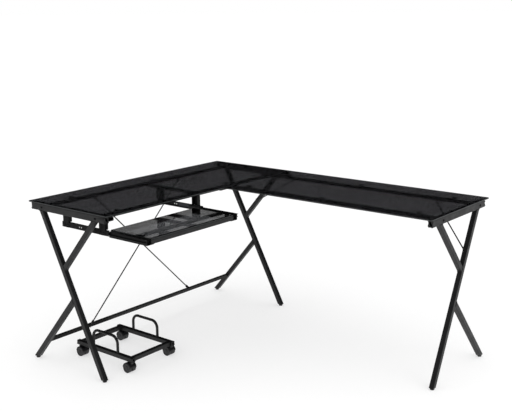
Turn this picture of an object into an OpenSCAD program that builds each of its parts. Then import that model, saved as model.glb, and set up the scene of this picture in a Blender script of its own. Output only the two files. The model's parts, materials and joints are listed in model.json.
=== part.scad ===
// L-shaped computer desk: two glass tops on three X-frames, a pull-out keyboard
// tray on ball-bearing slides, and a loose tower trolley on four twin-wheel casters.
// The corner of the L is at the back left. The right wing runs along +X and the
// left wing runs along -Y. All sizes are millimetres and degrees.

/* [Desk] */
// Height of the desk top above the floor
desk_height = 750; // [700:5:780]
// Length of the left wing along its outer edge
left_len = 1295; // [1000:5:1600]
// Depth of the left wing
left_depth = 525; // [440:5:640]
// Length of the right wing along its outer edge
right_len = 1635; // [1200:5:2000]
// Depth of the right wing
right_depth = 545; // [440:5:640]
// Thickness of the glass tops
glass_t = 5; // [4:0.5:10]
// Gap between the two glass tops
glass_gap = 2; // [1:0.5:4]
// Radius of the glass corners
glass_corner_r = 8; // [2:1:20]

/* [X-frames] */
// Length of a frame's top bar, end caps included
bar_len = 490; // [420:5:560]
// Height of the top bar's tube
bar_h = 30; // [24:1:40]
// Width of the square leg tube, and of the top bar
leg_w = 22; // [18:1:30]
// Wall of the frame tubes
tube_wall = 1.5; // [1:0.25:2.5]
// Gap between the top bar and the glass
bar_glass_gap = 1; // [0.5:0.5:4]
// Setback of the left and corner frames from the outer edge of the glass
left_frame_back = 22; // [20:1:60]
// Setback of the right frame from the outer edge of the glass
right_frame_back = 40; // [22:1:60]
// Setback of the frames' faces from the ends of the glass
frame_end_inset = 3; // [1:1:20]
// Overhang of the glass behind the corner frame
corner_overhang = 6; // [2:1:40]
// Distance from the bar's rear end to the top of the long leg
long_leg_top = 66; // [50:1:90]
// Distance from the bar's rear end to the foot of the long leg
long_leg_foot = 440; // [400:5:470]
// Distance from the bar's rear end to the top of the upper short leg
upper_leg_top = 416; // [380:2:440]
// Height where the upper short leg meets the long leg
upper_joint_z = 462; // [440:2:520]
// Height where the lower short leg meets the long leg
lower_joint_z = 330; // [290:2:360]
// Distance of the lower short leg's foot behind the bar's rear end
rear_foot_out = 20; // [0:1:20]

/* [Feet] */
// Height of a foot glide's pad under the leg
glide_h = 8; // [5:1:15]
// Diameter of a foot glide's pad
glide_d = 19; // [14:1:22]
// Depth of a foot glide's plug in the leg
glide_plug = 18; // [10:1:30]

/* [Rails] */
// Side of the square rail tube
rail_w = 15; // [12:1:20]
// Wall of the rail tube
rail_wall = 1.2; // [1:0.1:2]
// Height of the rubber pads between the rails and the glass
pad_h = 9.5; // [5:0.5:16]
// Diameter of the rubber pads
pad_d = 25; // [18:1:30]
// Setback of the rear left rail from the outer edge
left_rear_rail_x = 90; // [80:1:130]
// Spacing of the two left rails
left_rail_gap = 360; // [300:5:370]
// Setback of the rear right rail from the outer edge
right_rear_rail_y = 86; // [76:1:120]
// Spacing of the two right rails
right_rail_gap = 350; // [300:5:370]
// Width of the cross bar beside the left frame
crossbar_w = 30; // [20:1:40]
// Side of the stretcher tube between the lower legs
stretcher_w = 16; // [12:1:20]
// Height of the stretcher's centre
stretcher_z = 101; // [80:1:160]

/* [Braces] */
// Diameter of the brace rods
rod_d = 6; // [4:0.5:8]
// Thickness of the flat lugs on the rods
lug_t = 3; // [2:0.5:4]
// Width of the flat lugs
lug_w = 13; // [10:1:15]
// Length of the flat lugs
lug_len = 22; // [18:1:30]

/* [Keyboard tray] */
// Width of the tray frame
tray_w = 524; // [420:2:560]
// Depth of the tray frame
tray_d = 250; // [200:5:320]
// Side of the tray's square tube
tray_tube = 20; // [16:1:25]
// Thickness of the tray's glass
tray_glass_t = 4; // [3:0.5:6]
// Height of the tray's top surface
tray_top_z = 665; // [600:5:665]
// Distance of the tray's left side from the left wing's end
tray_from_end = 86; // [86:1:200]
// Length of the slides
slide_len = 305; // [250:5:350]
// Distance of the slides' rear ends from the outer edge
slide_back_x = 176; // [160:2:200]
// How far the tray is pulled out
tray_out = 221; // [150:1:225]
// Height of the slide's fixed channel
slide_h = 24; // [20:1:30]
// Gap between the tray frame and each slide
slide_gap = 26; // [20:1:40]
// Width of a hanger
hanger_w = 38; // [25:1:50]
// Depth of a hanger
hanger_d = 20; // [14:1:25]
// Thickness of the hangers' sheet steel
sheet_t = 2; // [1.5:0.25:3]

/* [Tower trolley] */
// Length of the trolley's side tubes
trolley_len = 373; // [300:1:450]
// Width of the trolley across the side tubes
trolley_w = 270; // [200:1:320]
// Side of the trolley's square tube
trolley_tube = 20; // [15:1:25]
// Height of the tubes' upper face
trolley_top_z = 70; // [66:1:90]
// Distance of the trolley's rear from the outer edge
trolley_back_x = 122; // [110:2:200]
// Distance of the trolley's middle from the left wing's end
trolley_from_end = 282; // [260:1:400]
// Diameter of the guard rods
guard_d = 13; // [8:0.5:16]
// Length of a guard loop
guard_len = 176; // [120:2:220]
// Height of a guard loop above the tubes
guard_h = 82; // [60:1:120]
// Bend radius of the guard rods
guard_bend = 34; // [20:1:45]
// Distance of the guard loops from the trolley's rear end
guard_back = 101; // [80:1:140]
// Diameter of the caster wheels
wheel_d = 44; // [36:1:45]
// Width of one caster wheel
wheel_w = 17; // [10:0.5:20]
// Distance of the wheel axle from the swivel axis
caster_trail = 13; // [8:1:16]

/* [Hidden] */
$fn = 48;

steel_colour = "#262626";
rail_colour = "#161616";
glass_colour = "#2b2b2b";
tray_glass_colour = "#3a3a3a";
rubber_colour = "#101010";
zinc_colour = "#8a8a8a";

// A little extra on cutting bodies, so that they pass right through
over = 1;
// Clearance of a plug in its tube
plug_fit = 0.15;
tray_mid_y = left_len - tray_from_end - tray_w / 2;
trolley_mid_y = left_len - trolley_from_end;
// Thickness of the plastic end caps
cap_t = 2;
// Depth of the end caps' plugs
cap_plug = 14;
// Facets of round bars and holes
round_fn = 32;
// Facets of small balls
ball_fn = 24;

// Heights
glass_bottom = desk_height - glass_t;
bar_top = glass_bottom - bar_glass_gap;
bar_bottom = bar_top - bar_h;
rail_top = glass_bottom - pad_h;
rail_bottom = rail_top - rail_w;
rail_z = rail_top - rail_w / 2;

// Bolts through the frames into the rails
bolt_r = 3;
bolt_hole_r = bolt_r + 0.3;
bolt_head_r = 5.2;
bolt_head_h = 2.8;
insert_len = 24;
bolt_bite = 16;
bolt_fit = 0.05;

// Plan places, from the outer corner of the L
left_frame_y = -left_len + frame_end_inset;
corner_frame_y = -corner_overhang - leg_w;
right_frame_x = right_len - frame_end_inset - leg_w;
crossbar_y = left_frame_y + leg_w;
crossbar_x0 = left_frame_back + cap_t;
crossbar_x1 = left_frame_back + bar_len - cap_t;
left_front_rail_x = left_rear_rail_x + left_rail_gap;
right_front_rail_y = right_rear_rail_y + right_rail_gap;
left_rail_y0 = crossbar_y + crossbar_w;
left_rail_y1 = corner_frame_y;
right_rail_x0 = left_front_rail_x + rail_w / 2;
right_rail_x1 = right_frame_x;

// Leg lines in a frame's plane are [offset, slope], where s = offset + slope * z
// and s is the distance from the bar's rear end
function line_through(s1, z1, s2, z2) =
    let (slope = (s2 - s1) / (z2 - z1)) [s1 - slope * z1, slope];
function shifted(line, d) = [line[0] + d, line[1]];
function at_height(line, z) = [line[0] + line[1] * z, z];
function meeting(a, b) = at_height(a, (b[0] - a[0]) / (a[1] - b[1]));
function end_on(line, cut) = is_num(cut) ? at_height(line, cut) : meeting(line, cut);
function moved_cut(cut, d) = is_num(cut) ? cut + d : shifted(cut, d);
// Half of the tube's width, measured level
function half_level(line, w) = w / 2 * sqrt(1 + line[1] * line[1]);

long_line = line_through(long_leg_top, bar_bottom, long_leg_foot, glide_h);
long_half = half_level(long_line, leg_w);
long_front = shifted(long_line, long_half);
long_rear = shifted(long_line, -long_half);
upper_foot = at_height(long_line, upper_joint_z);
upper_line = line_through(upper_leg_top, bar_bottom, upper_foot[0], upper_joint_z);
lower_head = at_height(long_rear, lower_joint_z);
lower_line = line_through(lower_head[0], lower_joint_z, -rear_foot_out, glide_h);
lower_half = half_level(lower_line, leg_w);

// The part's origin is under the middle of its overall box, on the floor
rear_foot_x = left_frame_back + at_height(lower_line, glide_h)[0] - lower_half;
box_x0 = min(0, rear_foot_x);
origin_x = (box_x0 + right_len) / 2;
origin_y = -left_len / 2;

module in_place() {
    translate([-origin_x, -origin_y, 0]) children();
}

// ---- general shapes ----

module tube_x(x0, x1, y0, z0, w, h, wall) {
    difference() {
        translate([x0, y0, z0]) cube([x1 - x0, w, h]);
        translate([x0 - over, y0 + wall, z0 + wall])
            cube([x1 - x0 + 2 * over, w - 2 * wall, h - 2 * wall]);
    }
}

module tube_y(y0, y1, x0, z0, w, h, wall) {
    difference() {
        translate([x0, y0, z0]) cube([w, y1 - y0, h]);
        translate([x0 + wall, y0 - over, z0 + wall])
            cube([w - 2 * wall, y1 - y0 + 2 * over, h - 2 * wall]);
    }
}

// A cylinder from point p to point q
module rod_between(p, q, d) {
    v = q - p;
    flat = norm([v[0], v[1]]);
    translate(p)
        rotate([0, atan2(flat, v[2]), atan2(v[1], v[0])])
            cylinder(h = norm(v), d = d, $fn = round_fn);
}

module rounded_sheet(x0, x1, y0, y1, z0, t, radii) {
    // radii: whether each corner is round, from [x0, y0] anticlockwise
    difference() {
        translate([x0, y0, z0]) cube([x1 - x0, y1 - y0, t]);
        for (i = [0:3]) {
            if (radii[i]) {
                corner_waste(i, x0, x1, y0, y1, z0, t);
            }
        }
    }
}

module corner_waste(i, x0, x1, y0, y1, z0, t) {
    x = (i == 0 || i == 3) ? x0 : x1;
    y = (i < 2) ? y0 : y1;
    translate([x, y, z0 - over])
        rotate([0, 0, 90 * i])
            difference() {
                translate([-over, -over, 0])
                    cube([glass_corner_r + over, glass_corner_r + over, t + 2 * over]);
                translate([glass_corner_r, glass_corner_r, -over])
                    cylinder(h = t + 4 * over, r = glass_corner_r);
            }
}

// ---- X-frames ----

// Puts a shape drawn in [s, z] and extruded towards the frame's face into place
module left_frame_at() {
    in_place()
        translate([left_frame_back, left_frame_y + leg_w, 0])
            rotate([90, 0, 0]) children();
}

module corner_frame_at() {
    in_place()
        translate([left_frame_back, corner_frame_y + leg_w, 0])
            rotate([90, 0, 0]) children();
}

module right_frame_at() {
    in_place()
        translate([right_frame_x + leg_w, -right_frame_back, 0])
            rotate([90, 0, -90]) children();
}

module leg_outline(line, half, top, bottom) {
    rear = shifted(line, -half);
    front = shifted(line, half);
    polygon([end_on(rear, bottom), end_on(front, bottom), end_on(front, top), end_on(rear, top)]);
}

// A hollow leg between two cuts; over_top and over_bottom open its ends
module leg_tube(line, top, bottom, over_top, over_bottom) {
    difference() {
        linear_extrude(leg_w)
            leg_outline(line, half_level(line, leg_w), top, bottom);
        translate([0, 0, tube_wall])
            linear_extrude(leg_w - 2 * tube_wall)
                leg_outline(line, half_level(line, leg_w - 2 * tube_wall),
                    moved_cut(top, over_top), moved_cut(bottom, over_bottom));
    }
}

module long_leg() {
    leg_tube(long_line, bar_bottom, glide_h, over, -over);
}

module upper_leg() {
    leg_tube(upper_line, bar_bottom, long_front, over, -over);
}

module lower_leg() {
    leg_tube(lower_line, long_rear, glide_h, over, -over);
}

// The top bar, with its bolt holes at the given distances from its rear end
module top_bar(bolt_places) {
    difference() {
        translate([cap_t, bar_bottom, 0])
            cube([bar_len - 2 * cap_t, bar_h, leg_w]);
        translate([cap_t - over, bar_bottom + tube_wall, tube_wall])
            cube([bar_len - 2 * cap_t + 2 * over, bar_h - 2 * tube_wall, leg_w - 2 * tube_wall]);
        for (s = bolt_places) {
            translate([s, rail_z, -over])
                cylinder(h = leg_w + 2 * over, r = bolt_hole_r, $fn = round_fn);
        }
    }
}

left_bolts = [left_rear_rail_x - left_frame_back, left_front_rail_x - left_frame_back];
right_bolts = [right_rear_rail_y - right_frame_back, right_front_rail_y - right_frame_back];

module end_cap(w, h, wall) {
    // A plate on the z = 0 plane with its plug below
    translate([-w / 2, -h / 2, 0]) cube([w, h, cap_t]);
    translate([-w / 2 + wall + plug_fit, -h / 2 + wall + plug_fit, -cap_plug])
        cube([w - 2 * wall - 2 * plug_fit, h - 2 * wall - 2 * plug_fit, cap_plug]);
}

module bar_caps() {
    translate([bar_len - cap_t, bar_bottom + bar_h / 2, leg_w / 2])
        rotate([0, 90, 0]) end_cap(leg_w, bar_h, tube_wall);
    translate([cap_t, bar_bottom + bar_h / 2, leg_w / 2])
        rotate([0, -90, 0]) end_cap(leg_w, bar_h, tube_wall);
}

// A round pad with a slanted plug inside the leg
module glide(line) {
    foot = at_height(line, glide_h);
    translate([foot[0], 0, leg_w / 2])
        rotate([-90, 0, 0]) cylinder(h = glide_h, d = glide_d);
    inner = leg_w - 2 * tube_wall - 2 * plug_fit;
    translate([0, 0, tube_wall + plug_fit])
        linear_extrude(inner)
            leg_outline(line, half_level(line, inner), glide_h + glide_plug, glide_h);
}

module frame_glides() {
    glide(long_line);
    glide(lower_line);
}

// A bolt with its head on the z = 0 plane and its shank below
module bolt(r, head_r, head_h, len) {
    cylinder(h = head_h, r = head_r, $fn = round_fn);
    translate([0, 0, -len]) cylinder(h = len, r = r, $fn = round_fn);
}

module frame_bolt_set(places, len) {
    for (s = places) {
        translate([s, rail_z, leg_w])
            bolt(bolt_r, bolt_head_r, bolt_head_h, len);
    }
}

module left_top_bar() {
    color(steel_colour) left_frame_at() top_bar(left_bolts);
}
module left_long_leg() {
    color(steel_colour) left_frame_at() long_leg();
}
module left_upper_leg() {
    color(steel_colour) left_frame_at() upper_leg();
}
module left_lower_leg() {
    color(steel_colour) left_frame_at() lower_leg();
}
module corner_top_bar() {
    color(steel_colour) corner_frame_at() top_bar(left_bolts);
}
module corner_long_leg() {
    color(steel_colour) corner_frame_at() long_leg();
}
module corner_upper_leg() {
    color(steel_colour) corner_frame_at() upper_leg();
}
module corner_lower_leg() {
    color(steel_colour) corner_frame_at() lower_leg();
}
module right_top_bar() {
    color(steel_colour) right_frame_at() top_bar(right_bolts);
}
module right_long_leg() {
    color(steel_colour) right_frame_at() long_leg();
}
module right_upper_leg() {
    color(steel_colour) right_frame_at() upper_leg();
}
module right_lower_leg() {
    color(steel_colour) right_frame_at() lower_leg();
}

module bar_end_caps() {
    color(rubber_colour) {
        left_frame_at() bar_caps();
        corner_frame_at() bar_caps();
        right_frame_at() bar_caps();
    }
}

module foot_glides() {
    color(rubber_colour) {
        left_frame_at() frame_glides();
        corner_frame_at() frame_glides();
        right_frame_at() frame_glides();
    }
}

// The corner frame's bolts point the other way, so they are turned about the bar
module corner_bolts_at() {
    in_place()
        translate([left_frame_back, corner_frame_y, 0])
            rotate([90, 0, 0])
                mirror([0, 0, 1]) children();
}

module frame_bolts() {
    color(zinc_colour) {
        left_frame_at() frame_bolt_set(left_bolts, leg_w + crossbar_w + bolt_bite);
        corner_bolts_at() frame_bolt_set(left_bolts, leg_w + bolt_bite);
        right_frame_at() frame_bolt_set_turned(right_bolts, leg_w + bolt_bite);
    }
}

// The right frame's bolts are driven from its outer face
module frame_bolt_set_turned(places, len) {
    translate([0, 0, leg_w]) mirror([0, 0, 1]) frame_bolt_set(places, len);
}

// ---- glass tops ----

module glass_left() {
    color(glass_colour, 0.6) in_place()
        rounded_sheet(0, left_depth, -left_len, 0, glass_bottom, glass_t,
            [true, true, false, true]);
}

module glass_right() {
    color(glass_colour, 0.6) in_place()
        rounded_sheet(left_depth + glass_gap, right_len, -right_depth, 0, glass_bottom, glass_t,
            [false, true, true, false]);
}

// Pads along a rail: how far each is from the rail's two ends, as shares of its length
left_rear_pads = [0.10, 0.53, 0.95];
left_front_pads = [0.06, 0.28, 0.66, 0.90];
right_rear_pads = [0.10, 0.48, 0.91];
right_front_pads = [0.12, 0.49, 0.92];

function part_way(a, b, share) = a + (b - a) * share;

module pad() {
    translate([0, 0, rail_top]) cylinder(h = pad_h, d = pad_d);
}

module glass_pads() {
    color(rubber_colour) in_place() {
        for (share = left_rear_pads) {
            translate([left_rear_rail_x, part_way(left_rail_y0, left_rail_y1, share), 0]) pad();
        }
        for (share = left_front_pads) {
            translate([left_front_rail_x, part_way(left_rail_y0, left_rail_y1, share), 0]) pad();
        }
        for (share = right_rear_pads) {
            translate([part_way(right_rail_x0, right_rail_x1, share), -right_rear_rail_y, 0]) pad();
        }
        for (share = right_front_pads) {
            translate([part_way(right_rail_x0, right_rail_x1, share), -right_front_rail_y, 0])
                pad();
        }
    }
}

// ---- rails ----

bracket_arm = 62;
bracket_w = 24;
bracket_t = 2.5;
screw_r = 2;
screw_head_r = 3.8;
screw_head_h = 2;
screw_fit = 0.05;
screw_edge = 12;

// Each place is [the seat of the head, the turn, the grip]. The screw runs along the
// turned Z axis
module screw(grip) {
    translate([0, 0, -screw_head_h]) cylinder(h = screw_head_h, r = screw_head_r, $fn = round_fn);
    cylinder(h = grip, r = screw_r, $fn = round_fn);
}

module screws_at(places) {
    for (p = places) {
        translate(p[0]) rotate(p[1]) screw(p[2]);
    }
}

module drilled(places) {
    difference() {
        children();
        for (p = places) {
            translate(p[0]) rotate(p[1]) translate([0, 0, -over])
                cylinder(h = p[2] + 2 * over, r = screw_r + screw_fit, $fn = round_fn);
        }
    }
}

function places_at_y(places, y) = [for (p = places) [p[0] + [0, y, 0], p[1], p[2]]];

// Where the bracket screws go, in the bracket's own corner frame
bracket_screws = [[bracket_arm - screw_edge, 0], [bracket_arm - 2.6 * screw_edge, 0]];

module left_crossbar() {
    color(rail_colour) in_place()
        drilled(places_at_y(hanger_top_screws(left_screw_y), left_plane_y)) difference() {
            tube_x(crossbar_x0, crossbar_x1, crossbar_y, rail_bottom, crossbar_w, rail_w, rail_wall);
            for (x = [left_rear_rail_x, left_front_rail_x]) {
                translate([x, crossbar_y - over, rail_z])
                    rotate([-90, 0, 0])
                        cylinder(h = crossbar_w + 2 * over, r = bolt_hole_r, $fn = round_fn);
            }
        }
}

module left_rear_rail() {
    color(rail_colour) in_place()
        drilled(rod_screws) tube_y(left_rail_y0, left_rail_y1, left_rear_rail_x - rail_w / 2, rail_bottom,
            rail_w, rail_w, rail_wall);
}

module left_front_rail() {
    color(rail_colour) in_place()
        drilled(places_at_y(hanger_top_screws(-right_screw_y), right_plane_y)) difference() {
            tube_y(left_rail_y0, left_rail_y1, left_front_rail_x - rail_w / 2, rail_bottom,
                rail_w, rail_w, rail_wall);
            for (y = [right_rear_rail_y, right_front_rail_y]) {
                for (p = bracket_screws) {
                    translate([left_front_rail_x, -y - p[0], rail_bottom - over]) screw_hole();
                }
            }
        }
}

module screw_hole() {
    cylinder(h = rail_wall + 2 * over, r = screw_r + screw_fit, $fn = round_fn);
}

slide_depth = 11.4;
// Outer faces of the slide channels
left_slide_y = -tray_mid_y - tray_w / 2 - slide_gap - slide_depth;
right_slide_y = -tray_mid_y + tray_w / 2 + slide_gap + slide_depth;
mid_crossbar_y = right_slide_y + sheet_t - hanger_d;

module mid_crossbar() {
    color(rail_colour) in_place()
        drilled(places_at_y(hanger_top_screws(-right_screw_y), right_plane_y)) tube_x(left_rear_rail_x + rail_w / 2, left_front_rail_x - rail_w / 2, mid_crossbar_y,
            rail_bottom, rail_w, rail_w, rail_wall);
}

module right_rail(y) {
    difference() {
        tube_x(right_rail_x0, right_rail_x1, -y - rail_w / 2, rail_bottom,
            rail_w, rail_w, rail_wall);
        for (p = bracket_screws) {
            translate([left_front_rail_x + p[0], -y, rail_bottom - over]) screw_hole();
        }
    }
}

module right_rear_rail() {
    color(rail_colour) in_place() right_rail(right_rear_rail_y);
}

module right_front_rail() {
    color(rail_colour) in_place() right_rail(right_front_rail_y);
}

// Threaded steel inserts in the bolted ends of the rails
module insert_at(x, y, turn) {
    side = rail_w - 2 * rail_wall - 2 * plug_fit;
    translate([x, y, rail_z])
        rotate([0, 0, turn])
            rotate([0, 90, 0])
                difference() {
                    translate([-side / 2, -side / 2, 0]) cube([side, side, insert_len]);
                    translate([0, 0, -over])
                        cylinder(h = insert_len + 2 * over, r = bolt_r + bolt_fit, $fn = round_fn);
                }
}

module rail_inserts() {
    color(zinc_colour) in_place() {
        for (x = [left_rear_rail_x, left_front_rail_x]) {
            insert_at(x, left_rail_y0, 90);
            insert_at(x, left_rail_y1, -90);
        }
        for (y = [right_rear_rail_y, right_front_rail_y]) {
            insert_at(right_rail_x1, -y, 180);
        }
    }
}

// An L-shaped plate under the corner of two rails, with its four screws
module rail_bracket() {
    translate([0, 0, -bracket_t])
        difference() {
            union() {
                translate([-bracket_w / 2, -bracket_arm, 0])
                    cube([bracket_w, bracket_arm + bracket_w / 2, bracket_t]);
                translate([0, -bracket_w / 2, 0])
                    cube([bracket_arm, bracket_w, bracket_t]);
            }
            for (p = bracket_screws) {
                translate([p[0], p[1], -over]) bracket_hole();
                translate([p[1], -p[0], -over]) bracket_hole();
            }
        }
    for (p = bracket_screws) {
        translate([p[0], p[1], -bracket_t]) bracket_screw();
        translate([p[1], -p[0], -bracket_t]) bracket_screw();
    }
}

module bracket_hole() {
    cylinder(h = bracket_t + 2 * over, r = screw_r + screw_fit, $fn = round_fn);
}

module bracket_screw() {
    translate([0, 0, -screw_head_h])
        cylinder(h = screw_head_h, r = screw_head_r, $fn = round_fn);
    cylinder(h = bracket_t + rail_wall, r = screw_r, $fn = round_fn);
}

module rail_brackets() {
    color(steel_colour) in_place()
        for (y = [right_rear_rail_y, right_front_rail_y]) {
            translate([left_front_rail_x, -y, rail_bottom]) rail_bracket();
        }
}

// ---- stretcher and brace rods ----

stretcher_s = at_height(lower_line, stretcher_z)[0];
stretcher_x = left_frame_back + stretcher_s;

module stretcher() {
    color(steel_colour) in_place()
        drilled(rod_screws) tube_y(crossbar_y, corner_frame_y, stretcher_x - stretcher_w / 2,
            stretcher_z - stretcher_w / 2, stretcher_w, stretcher_w, rail_wall);
}

// Ends of the crossing rods, as distances from the back edge of the left wing
outer_rod_top_y = left_len - 310;
outer_rod_foot_y = 330;
inner_rod_top_y = 409;
inner_rod_foot_y = left_len - 255;

// A rod with a flat lug at each end, lying against the rail's and stretcher's sides
module cross_rod(top_y, foot_y, side) {
    rod_top_x = left_rear_rail_x + side * (rail_w + lug_t) / 2;
    rod_foot_x = stretcher_x + side * (stretcher_w + lug_t) / 2;
    head = [rod_top_x, -top_y, rail_z];
    foot = [rod_foot_x, -foot_y, stretcher_z];
    unit = (foot - head) / norm(foot - head);
    head_in = head + unit * lug_len;
    foot_in = foot - unit * lug_len;
    rod_between(head_in, foot_in, rod_d);
    rod_lug(head, head_in);
    rod_lug(foot, foot_in);
}

// A flat strip from a lug's eye to the rod's end
module rod_lug(eye, rod_end) {
    v = rod_end - eye;
    tilt = atan2(v[2], v[1]);
    translate([eye[0] - lug_t / 2, eye[1], eye[2]])
        rotate([tilt, 0, 0])
            translate([0, -lug_w / 2, -lug_w / 2])
                cube([lug_t, lug_len + lug_w, lug_w]);
}

// The screws of one rod's two lugs
function lug_screws(top_y, foot_y, side) = [
    [[left_rear_rail_x + side * (rail_w / 2 + lug_t), -top_y, rail_z],
        [0, -side * 90, 0], lug_t + rail_wall],
    [[stretcher_x + side * (stretcher_w / 2 + lug_t), -foot_y, stretcher_z],
        [0, -side * 90, 0], lug_t + rail_wall]
];

rod_screws = concat(lug_screws(outer_rod_top_y, outer_rod_foot_y, -1),
    lug_screws(inner_rod_top_y, inner_rod_foot_y, 1));

module brace_rod_outer() {
    color(steel_colour) in_place() drilled(rod_screws) cross_rod(outer_rod_top_y, outer_rod_foot_y, -1);
}

module brace_rod_inner() {
    color(steel_colour) in_place() drilled(rod_screws) cross_rod(inner_rod_top_y, inner_rod_foot_y, 1);
}

// Knee rods: a top plate under the rear right rail and a foot plate on a leg
knee_corner_top_x = 604;
knee_corner_foot_z = 566;
knee_right_top_x = 1413;
knee_right_foot_z = 548;
// Size of the bodies that trim the knee rods' ends
knee_cut = 60;
corner_knee_s = at_height(upper_line, knee_corner_foot_z)[0];
right_knee_s = at_height(long_line, knee_right_foot_z)[0];

// The rod between the two points, run on a little at both ends
module long_rod(head, foot) {
    unit = (foot - head) / norm(foot - head);
    rod_between(head - unit * lug_len, foot + unit * lug_len, rod_d);
}

module knee_head_plate(head) {
    translate([head[0] - lug_len / 2, head[1] - lug_w / 2, rail_bottom - lug_t])
        cube([lug_len, lug_w, lug_t]);
}

// Cuts away what lies above the head plate's middle
module above_head(head) {
    translate([head[0] - knee_cut / 2, head[1] - knee_cut / 2, head[2]])
        cube([knee_cut, knee_cut, knee_cut]);
}

module knee_rod_corner() {
    head = [knee_corner_top_x, -right_rear_rail_y, rail_bottom - lug_t / 2];
    foot = [left_frame_back + corner_knee_s, corner_frame_y - lug_t / 2, knee_corner_foot_z];
    color(steel_colour) in_place() {
        difference() {
            long_rod(head, foot);
            above_head(head);
            translate([foot[0] - knee_cut / 2, foot[1], foot[2] - knee_cut / 2])
                cube([knee_cut, knee_cut, knee_cut]);
        }
        knee_head_plate(head);
        translate([foot[0] - lug_w / 2, corner_frame_y - lug_t, foot[2] - lug_len / 2])
            cube([lug_w, lug_t, lug_len]);
    }
}

module knee_rod_right() {
    head = [knee_right_top_x, -right_rear_rail_y, rail_bottom - lug_t / 2];
    foot = [right_frame_x - lug_t / 2, -right_frame_back - right_knee_s, knee_right_foot_z];
    color(steel_colour) in_place() {
        difference() {
            long_rod(head, foot);
            above_head(head);
            translate([foot[0], foot[1] - knee_cut / 2, foot[2] - knee_cut / 2])
                cube([knee_cut, knee_cut, knee_cut]);
        }
        knee_head_plate(head);
        translate([right_frame_x - lug_t, foot[1] - lug_w / 2, foot[2] - lug_len / 2])
            cube([lug_t, lug_w, lug_len]);
    }
}

// ---- hangers and slides ----

tray_frame_top = tray_top_z - tray_glass_t;
tray_frame_bottom = tray_frame_top - tray_tube;
// How far the slides' underside is above the tray's, and the gap over a slide
slide_lift = 6;
slide_over = 1;
// Distance of the hangers from the ends of the slides
hanger_inset_rear = 9;
hanger_inset_front = 20;
slide_z = tray_frame_bottom + slide_h / 2 + slide_lift;
slide_front_x = slide_back_x + slide_len;
hanger_rear_x = slide_back_x + hanger_inset_rear;
hanger_front_x = slide_front_x - hanger_inset_front - hanger_w;
hanger_bottom = slide_z + slide_h / 2 + slide_over;
tray_front_x = slide_front_x + tray_out;
tray_rear_x = tray_front_x - tray_d;
runner_back_x = slide_back_x + tray_out;

// A folded sheet hanger at the plane y = 0, with its open side towards +Y. Its top
// plate reaches back to the outer side of the bar above.
module hanger(x, reach) {
    translate([x, -reach, rail_bottom - sheet_t]) cube([hanger_w, reach + hanger_d, sheet_t]);
    difference() {
        translate([x, 0, hanger_bottom])
            cube([hanger_w, hanger_d, rail_bottom - hanger_bottom]);
        translate([x + sheet_t, sheet_t, hanger_bottom - over])
            cube([hanger_w - 2 * sheet_t, hanger_d, rail_bottom - hanger_bottom + 2 * over]);
    }
    translate([x, 0, slide_z - slide_h / 2])
        cube([hanger_w, sheet_t, hanger_bottom - slide_z + slide_h / 2]);
}

channel_wall = 1.2;
// Distance of a hanger's screws from its middle
hanger_screw_off = 9;
hanger_screw_x = [for (x = [hanger_rear_x, hanger_front_x]) for (side = [-1, 1])
    x + hanger_w / 2 + side * hanger_screw_off];
// Outer faces of the hangers, and their top screws' distance from those
left_plane_y = left_slide_y - sheet_t;
right_plane_y = right_slide_y + sheet_t;
left_screw_y = crossbar_y + crossbar_w / 2 - left_plane_y;
right_screw_y = right_plane_y - mid_crossbar_y - rail_w / 2;

function hanger_top_screws(y) = [for (x = hanger_screw_x)
    [[x, y, rail_bottom - sheet_t], [0, 0, 0], sheet_t + rail_wall]];

hanger_web_screws = [for (x = hanger_screw_x)
    [[x, 0, slide_z], [-90, 0, 0], sheet_t + channel_wall]];

module hanger_pair(reach, screw_y) {
    drilled(concat(hanger_top_screws(screw_y), hanger_web_screws)) {
        hanger(hanger_rear_x, reach);
        hanger(hanger_front_x, reach);
    }
}

module desk_screws() {
    color(zinc_colour) {
        left_side_at() screws_at(concat(hanger_top_screws(left_screw_y), hanger_web_screws));
        right_side_at() screws_at(concat(hanger_top_screws(right_screw_y), hanger_web_screws));
        in_place() screws_at(rod_screws);
    }
}

module left_side_at() {
    in_place() translate([0, left_plane_y, 0]) children();
}

module right_side_at() {
    in_place() translate([0, right_plane_y, 0]) mirror([0, 1, 0]) children();
}

module hangers_left() {
    color(rail_colour) left_side_at() hanger_pair(left_plane_y - crossbar_y, left_screw_y);
}

module hangers_right() {
    color(rail_colour) right_side_at() hanger_pair(0, right_screw_y);
}

// Slide sections, drawn in [y, z] from the hanger plate
ball_r = 1.6;
ball_fit = 0.05;
cage_wall = 0.8;
runner_h = slide_h - 2 * channel_wall - 4 * ball_r;
ball_y = 5.6;
cage_len = 150;
cage_y0 = 2;
cage_y1 = 8;
runner_y0 = 3.4;
cage_inset = 8;
balls_a_row = 6;

module along_x(x0, len) {
    translate([x0, 0, 0]) rotate([90, 0, 90]) linear_extrude(len) children();
}

module c_section(y0, y1, h, wall, web_at_start) {
    difference() {
        translate([y0, -h / 2]) square([y1 - y0, h]);
        translate([y0 + (web_at_start ? wall : -over), -h / 2 + wall])
            square([y1 - y0 - wall + over, h - 2 * wall]);
    }
}

// Holes in a channel's web, from its rear end
channel_holes = [117, 130];
channel_hole_r = 2.5;

module slide_channel() {
    drilled(hanger_web_screws) difference() {
        translate([0, sheet_t, slide_z])
            along_x(slide_back_x, slide_len)
                c_section(0, slide_depth - 1, slide_h, channel_wall, true);
        for (x = channel_holes) {
            translate([slide_back_x + x, sheet_t - over, slide_z])
                rotate([-90, 0, 0])
                    cylinder(h = channel_wall + 2 * over, r = channel_hole_r, $fn = round_fn);
        }
    }
}

module slide_runner() {
    drilled(arm_screws) translate([0, sheet_t, slide_z])
        along_x(runner_back_x, slide_len)
            c_section(runner_y0, slide_depth, runner_h, channel_wall, false);
}

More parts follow.
